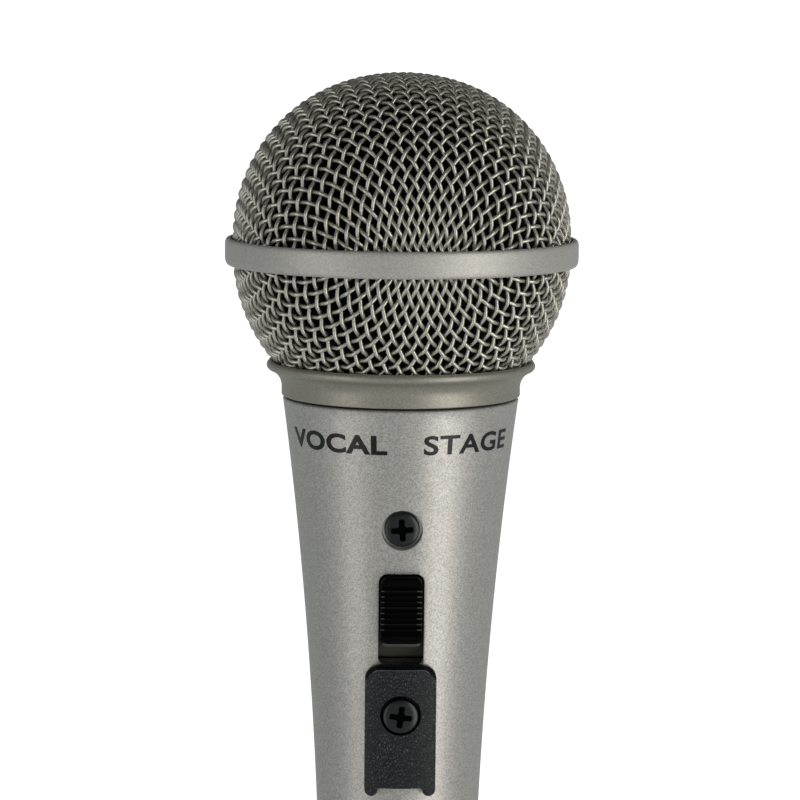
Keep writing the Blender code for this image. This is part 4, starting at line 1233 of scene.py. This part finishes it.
def wrap_on_handle(letters, middle):
    """Lays flat letters round the handle, their middle at that angle from the front."""
    wrap_radius = handle_radius(LETTER_FOOT_Z + LETTER_HEIGHT / 2)
    for vertex in letters.data.vertices:
        across, up, off = vertex.co
        z = LETTER_FOOT_Z + up
        angle = middle + across / wrap_radius
        radius = handle_radius(z) + off
        vertex.co = (radius * math.sin(angle), -radius * math.cos(angle), z)


# ---------------------------------------------------------------- connector
PIN_RADIUS, PIN_CIRCLE = 1.2 * MM, 3.8 * MM


def pin_places():
    return (("1", PIN_CIRCLE, 0.0), ("2", -PIN_CIRCLE, 0.0), ("3", 0.0, -PIN_CIRCLE))


class MIC_OT_connector(bpy.types.Operator):
    """Moulds the connector's insert with its numbers and turns its three pins"""

    bl_idname = "mic.connector"
    bl_label = "Connector"

    def execute(self, context):
        low, high = INSERT_LOW.z, INSERT_HIGH.z
        wide, waist = 7.8 * MM, 6.9 * MM
        edge = 0.3 * MM
        profile = [(0, high), (waist - edge, high), (waist, high - edge), (waist, low + 1.8 * MM)]
        profile += [(wide, low + 1.8 * MM), (wide, low + edge), (wide - edge, low)]
        profile += [(6.3 * MM, low), (6.1 * MM, low + 0.35 * MM), (0, low + 0.35 * MM)]
        insert = turned("pin_insert", profile, 96)
        for number, x, y in pin_places():
            bore = rod("pin_bore_tool", PIN_RADIUS + 0.12 * MM, low - 2 * MM, high + 2 * MM, 40)
            combine(insert, move(bore, Matrix.Translation((x, y, 0))))
        smooth(insert, 30)
        finish_piece(insert, "black_plastic", "handle", "connector_insert")
        tail, cup, cup_floor = 1.1 * MM, 0.7 * MM, 24.0 * MM
        for number, x, y in pin_places():
            node = "connector_pin_" + number
            foot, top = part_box(node)[0].z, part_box(node)[1].z
            outline = [(cup, top), (tail, top), (tail, 22.5 * MM), (PIN_RADIUS, 22.2 * MM)]
            outline += arc(0, foot + PIN_RADIUS, PIN_RADIUS, 0, -90, 10)
            outline += [(0, cup_floor), (cup, cup_floor)]
            pin = turned("contact_pin_" + number, outline + [outline[0]], 40)
            move(pin, Matrix.Translation((x, y, 0)))
            finish_piece(pin, "gold", "handle", node)
            label = pin_number(number, x, y, low + 0.35 * MM)
            finish_piece(label, "black_plastic", "handle")
        return {"FINISHED"}


def pin_number(number, x, y, z):
    """A raised number beside its pin, read from below."""
    label = lettering("pin_number_" + number, number, 2.0 * MM, 0.12 * MM, align_x="CENTER", align_y="CENTER")
    inwards = 0.42
    place = Vector((x * inwards, y * inwards + 0.4 * MM, z - 0.05 * MM))
    facing_down = Matrix.Rotation(math.pi, 4, "X")
    return move(label, Matrix.Translation(place) @ facing_down)


# ---------------------------------------------------------------- what stays from the frame
class MIC_OT_inner_parts(bpy.types.Operator):
    """Gives every CAD node that still shows its own finish"""

    bl_idname = "mic.inner_parts"
    bl_label = "Inner Parts"

    def execute(self, context):
        for part in frame["record"]["subparts"]:
            node = NODES[part["node"]]
            if node.hide_render:
                continue
            finish = FINISHES[part["material_slot"]]
            if not node.material_slots:
                node.data.materials.append(finish)
            for place in node.material_slots:
                place.material = finish
        return {"FINISHED"}


# ---------------------------------------------------------------- stage
def camera_at(stage):
    """Looks slightly down at the ball and the upper handle, with a barely tilted frame."""
    data = bpy.data.cameras.new("camera")
    data.lens = stage.lens
    data.clip_start = 0.01
    camera = bpy.data.objects.new("camera", data)
    bpy.context.scene.collection.objects.link(camera)
    pitch, roll, distance = math.radians(7.2), math.radians(0.45), 0.500
    aim_z = 109.8 * MM
    place = Vector((-0.1 * MM, -distance * math.cos(pitch), aim_z + distance * math.sin(pitch)))
    turn = Matrix.Rotation(math.pi / 2 - pitch, 4, "X") @ Matrix.Rotation(roll, 4, "Z")
    round_axis = Matrix.Rotation(stage.turn, 4, "Z")
    camera.matrix_world = round_axis @ Matrix.Translation(place) @ turn
    bpy.context.scene.camera = camera


def strip_light(name, azimuth, power, width, height=1.2, centre_z=0.05, distance=0.75):
    data = bpy.data.lights.new(name, "AREA")
    data.shape = "RECTANGLE"
    data.size, data.size_y = width, height
    data.energy = power
    data.color = (1.0, 0.965, 0.935)
    light = bpy.data.objects.new(name, data)
    bpy.context.scene.collection.objects.link(light)
    place = Vector((distance * math.sin(azimuth), -distance * math.cos(azimuth), centre_z))
    inwards = Vector((-place.x, -place.y, 0)).to_track_quat("-Z", "Y").to_matrix().to_4x4()
    light.matrix_world = Matrix.Translation(place) @ inwards


def soft_room(stage):
    """A soft, slightly cool light from all round, dimmer overhead."""
    world = bpy.data.worlds.new("studio")
    world.use_nodes = True
    tree = world.node_tree
    direction = add(tree, "SeparateXYZ")
    tree.links.new(add(tree, "TexCoord").outputs["Generated"], direction.inputs[0])
    strength = ramp(tree, direction.outputs["Z"], 0.05, 0.75, stage.fill, stage.fill_above)
    background = tree.nodes["Background"]
    background.inputs["Color"].default_value = (0.90, 0.975, 0.985, 1)
    tree.links.new(strength, background.inputs["Strength"])
    bpy.context.scene.world = world


def studio_floor():
    """A pale one-sided floor that curves up into a wall all round, and lights nothing; its glow is dimmer
    near the middle as a painted contact shadow.
    """
    flat, rise, top = 1.6, 0.8, 4.0
    low = -0.05 * MM
    side = [(0, 0, low), (0.4, 0, low), (flat, 0, low)]
    side += [(x, 0, z) for x, z in arc(flat, rise, rise, -80, 0, 8)]
    side.append((flat + rise, 0, top))
    floor = draw_outline("studio_floor", side)
    bpy.ops.mesh.select_all(action="SELECT")
    bpy.ops.mesh.spin(steps=64, angle=2 * math.pi, center=(0, 0, 0), axis=(0, 0, 1))
    bpy.ops.mesh.select_all(action="SELECT")
    bpy.ops.mesh.remove_doubles(threshold=1e-5)
    bpy.ops.mesh.normals_make_consistent(inside=True)
    bpy.ops.object.mode_set(mode="OBJECT")
    smooth(floor, 60)
    for ray in ("diffuse", "glossy", "transmission", "shadow"):
        setattr(floor, "visible_" + ray, False)
    material = bpy.data.materials.new("pale_floor")
    material.use_nodes = True
    tree = material.node_tree
    shader = tree.nodes["Principled BSDF"]
    pale = {"Base Color": (0.80, 0.80, 0.80, 1), "Roughness": 0.9, "Specular IOR Level": 0.1}
    set_inputs(shader, pale | {"Emission Strength": 1.0})
    # The glow falls off towards the middle: a painted shadow pool round the microphone's foot.
    away = add(tree, "VectorMath", operation="LENGTH")
    tree.links.new(add(tree, "TexCoord").outputs["Object"], away.inputs[0])
    glow_with_painted_shadow = ramp(tree, away.outputs["Value"], 0.02, 0.19, 0.70, 1.0)
    tree.links.new(glow_with_painted_shadow, shader.inputs["Emission Color"])
    one_sided = add(tree, "MixShader", Fac=add(tree, "NewGeometry").outputs["Backfacing"])
    tree.links.new(shader.outputs[0], one_sided.inputs[1])
    tree.links.new(add(tree, "BsdfTransparent").outputs[0], one_sided.inputs[2])
    tree.links.new(one_sided.outputs[0], tree.nodes["Material Output"].inputs["Surface"])
    floor.data.materials.append(material)


class MIC_OT_stage(bpy.types.Operator):
    """Sets up the camera, the soft studio light and the pale floor"""

    bl_idname = "mic.stage"
    bl_label = "Stage"

    def execute(self, context):
        stage = context.scene.mic_stage
        camera_at(stage)
        soft_room(stage)
        context.scene.view_settings.view_transform = "Standard"
        strip_light("strip_left", math.radians(-55), stage.left, stage.left_width)
        strip_light("strip_right", math.radians(46), stage.right, stage.right_width)
        studio_floor()
        return {"FINISHED"}


# ---------------------------------------------------------------- panel and registration
STEPS = (
    MIC_OT_stage,
    MIC_OT_woven_ball,
    MIC_OT_foam_lining,
    MIC_OT_band_and_collar,
    MIC_OT_handle,
    MIC_OT_switch_knob,
    MIC_OT_lock_plate,
    MIC_OT_screws,
    MIC_OT_handle_words,
    MIC_OT_connector,
    MIC_OT_inner_parts,
)
SETTINGS = {
    "mic_ball": BallSettings,
    "mic_handle": HandleSettings,
    "mic_finish": FinishSettings,
    "mic_stage": StageSettings,
}
FINISHES = {}


class MIC_PT_panel(bpy.types.Panel):
    """Lists the microphone's settings and building steps"""

    bl_idname = "MIC_PT_panel"
    bl_label = "Microphone"
    bl_space_type = "VIEW_3D"
    bl_region_type = "UI"
    bl_category = "Microphone"

    def draw(self, context):
        for attribute, group in SETTINGS.items():
            box = self.layout.box()
            for name in group.__annotations__:
                box.prop(getattr(context.scene, attribute), name)
        for step in STEPS:
            self.layout.operator(step.bl_idname)


def register():
    for group in SETTINGS.values():
        bpy.utils.register_class(group)
    for attribute, group in SETTINGS.items():
        setattr(bpy.types.Scene, attribute, bpy.props.PointerProperty(type=group))
    for step in (*STEPS, MIC_PT_panel):
        bpy.utils.register_class(step)


def unregister():
    for step in (MIC_PT_panel, *reversed(STEPS)):
        bpy.utils.unregister_class(step)
    for attribute, group in SETTINGS.items():
        delattr(bpy.types.Scene, attribute)
        bpy.utils.unregister_class(group)


def main():
    register()
    for name in ("Cube", "Light", "Camera"):
        if name in bpy.data.objects:
            bpy.data.objects.remove(bpy.data.objects[name])
    FINISHES.update(make_finishes(bpy.context.scene.mic_finish))
    for step in STEPS:
        family, name = step.bl_idname.split(".")
        getattr(getattr(bpy.ops, family), name)()


if __name__ == "__main__":
    main()
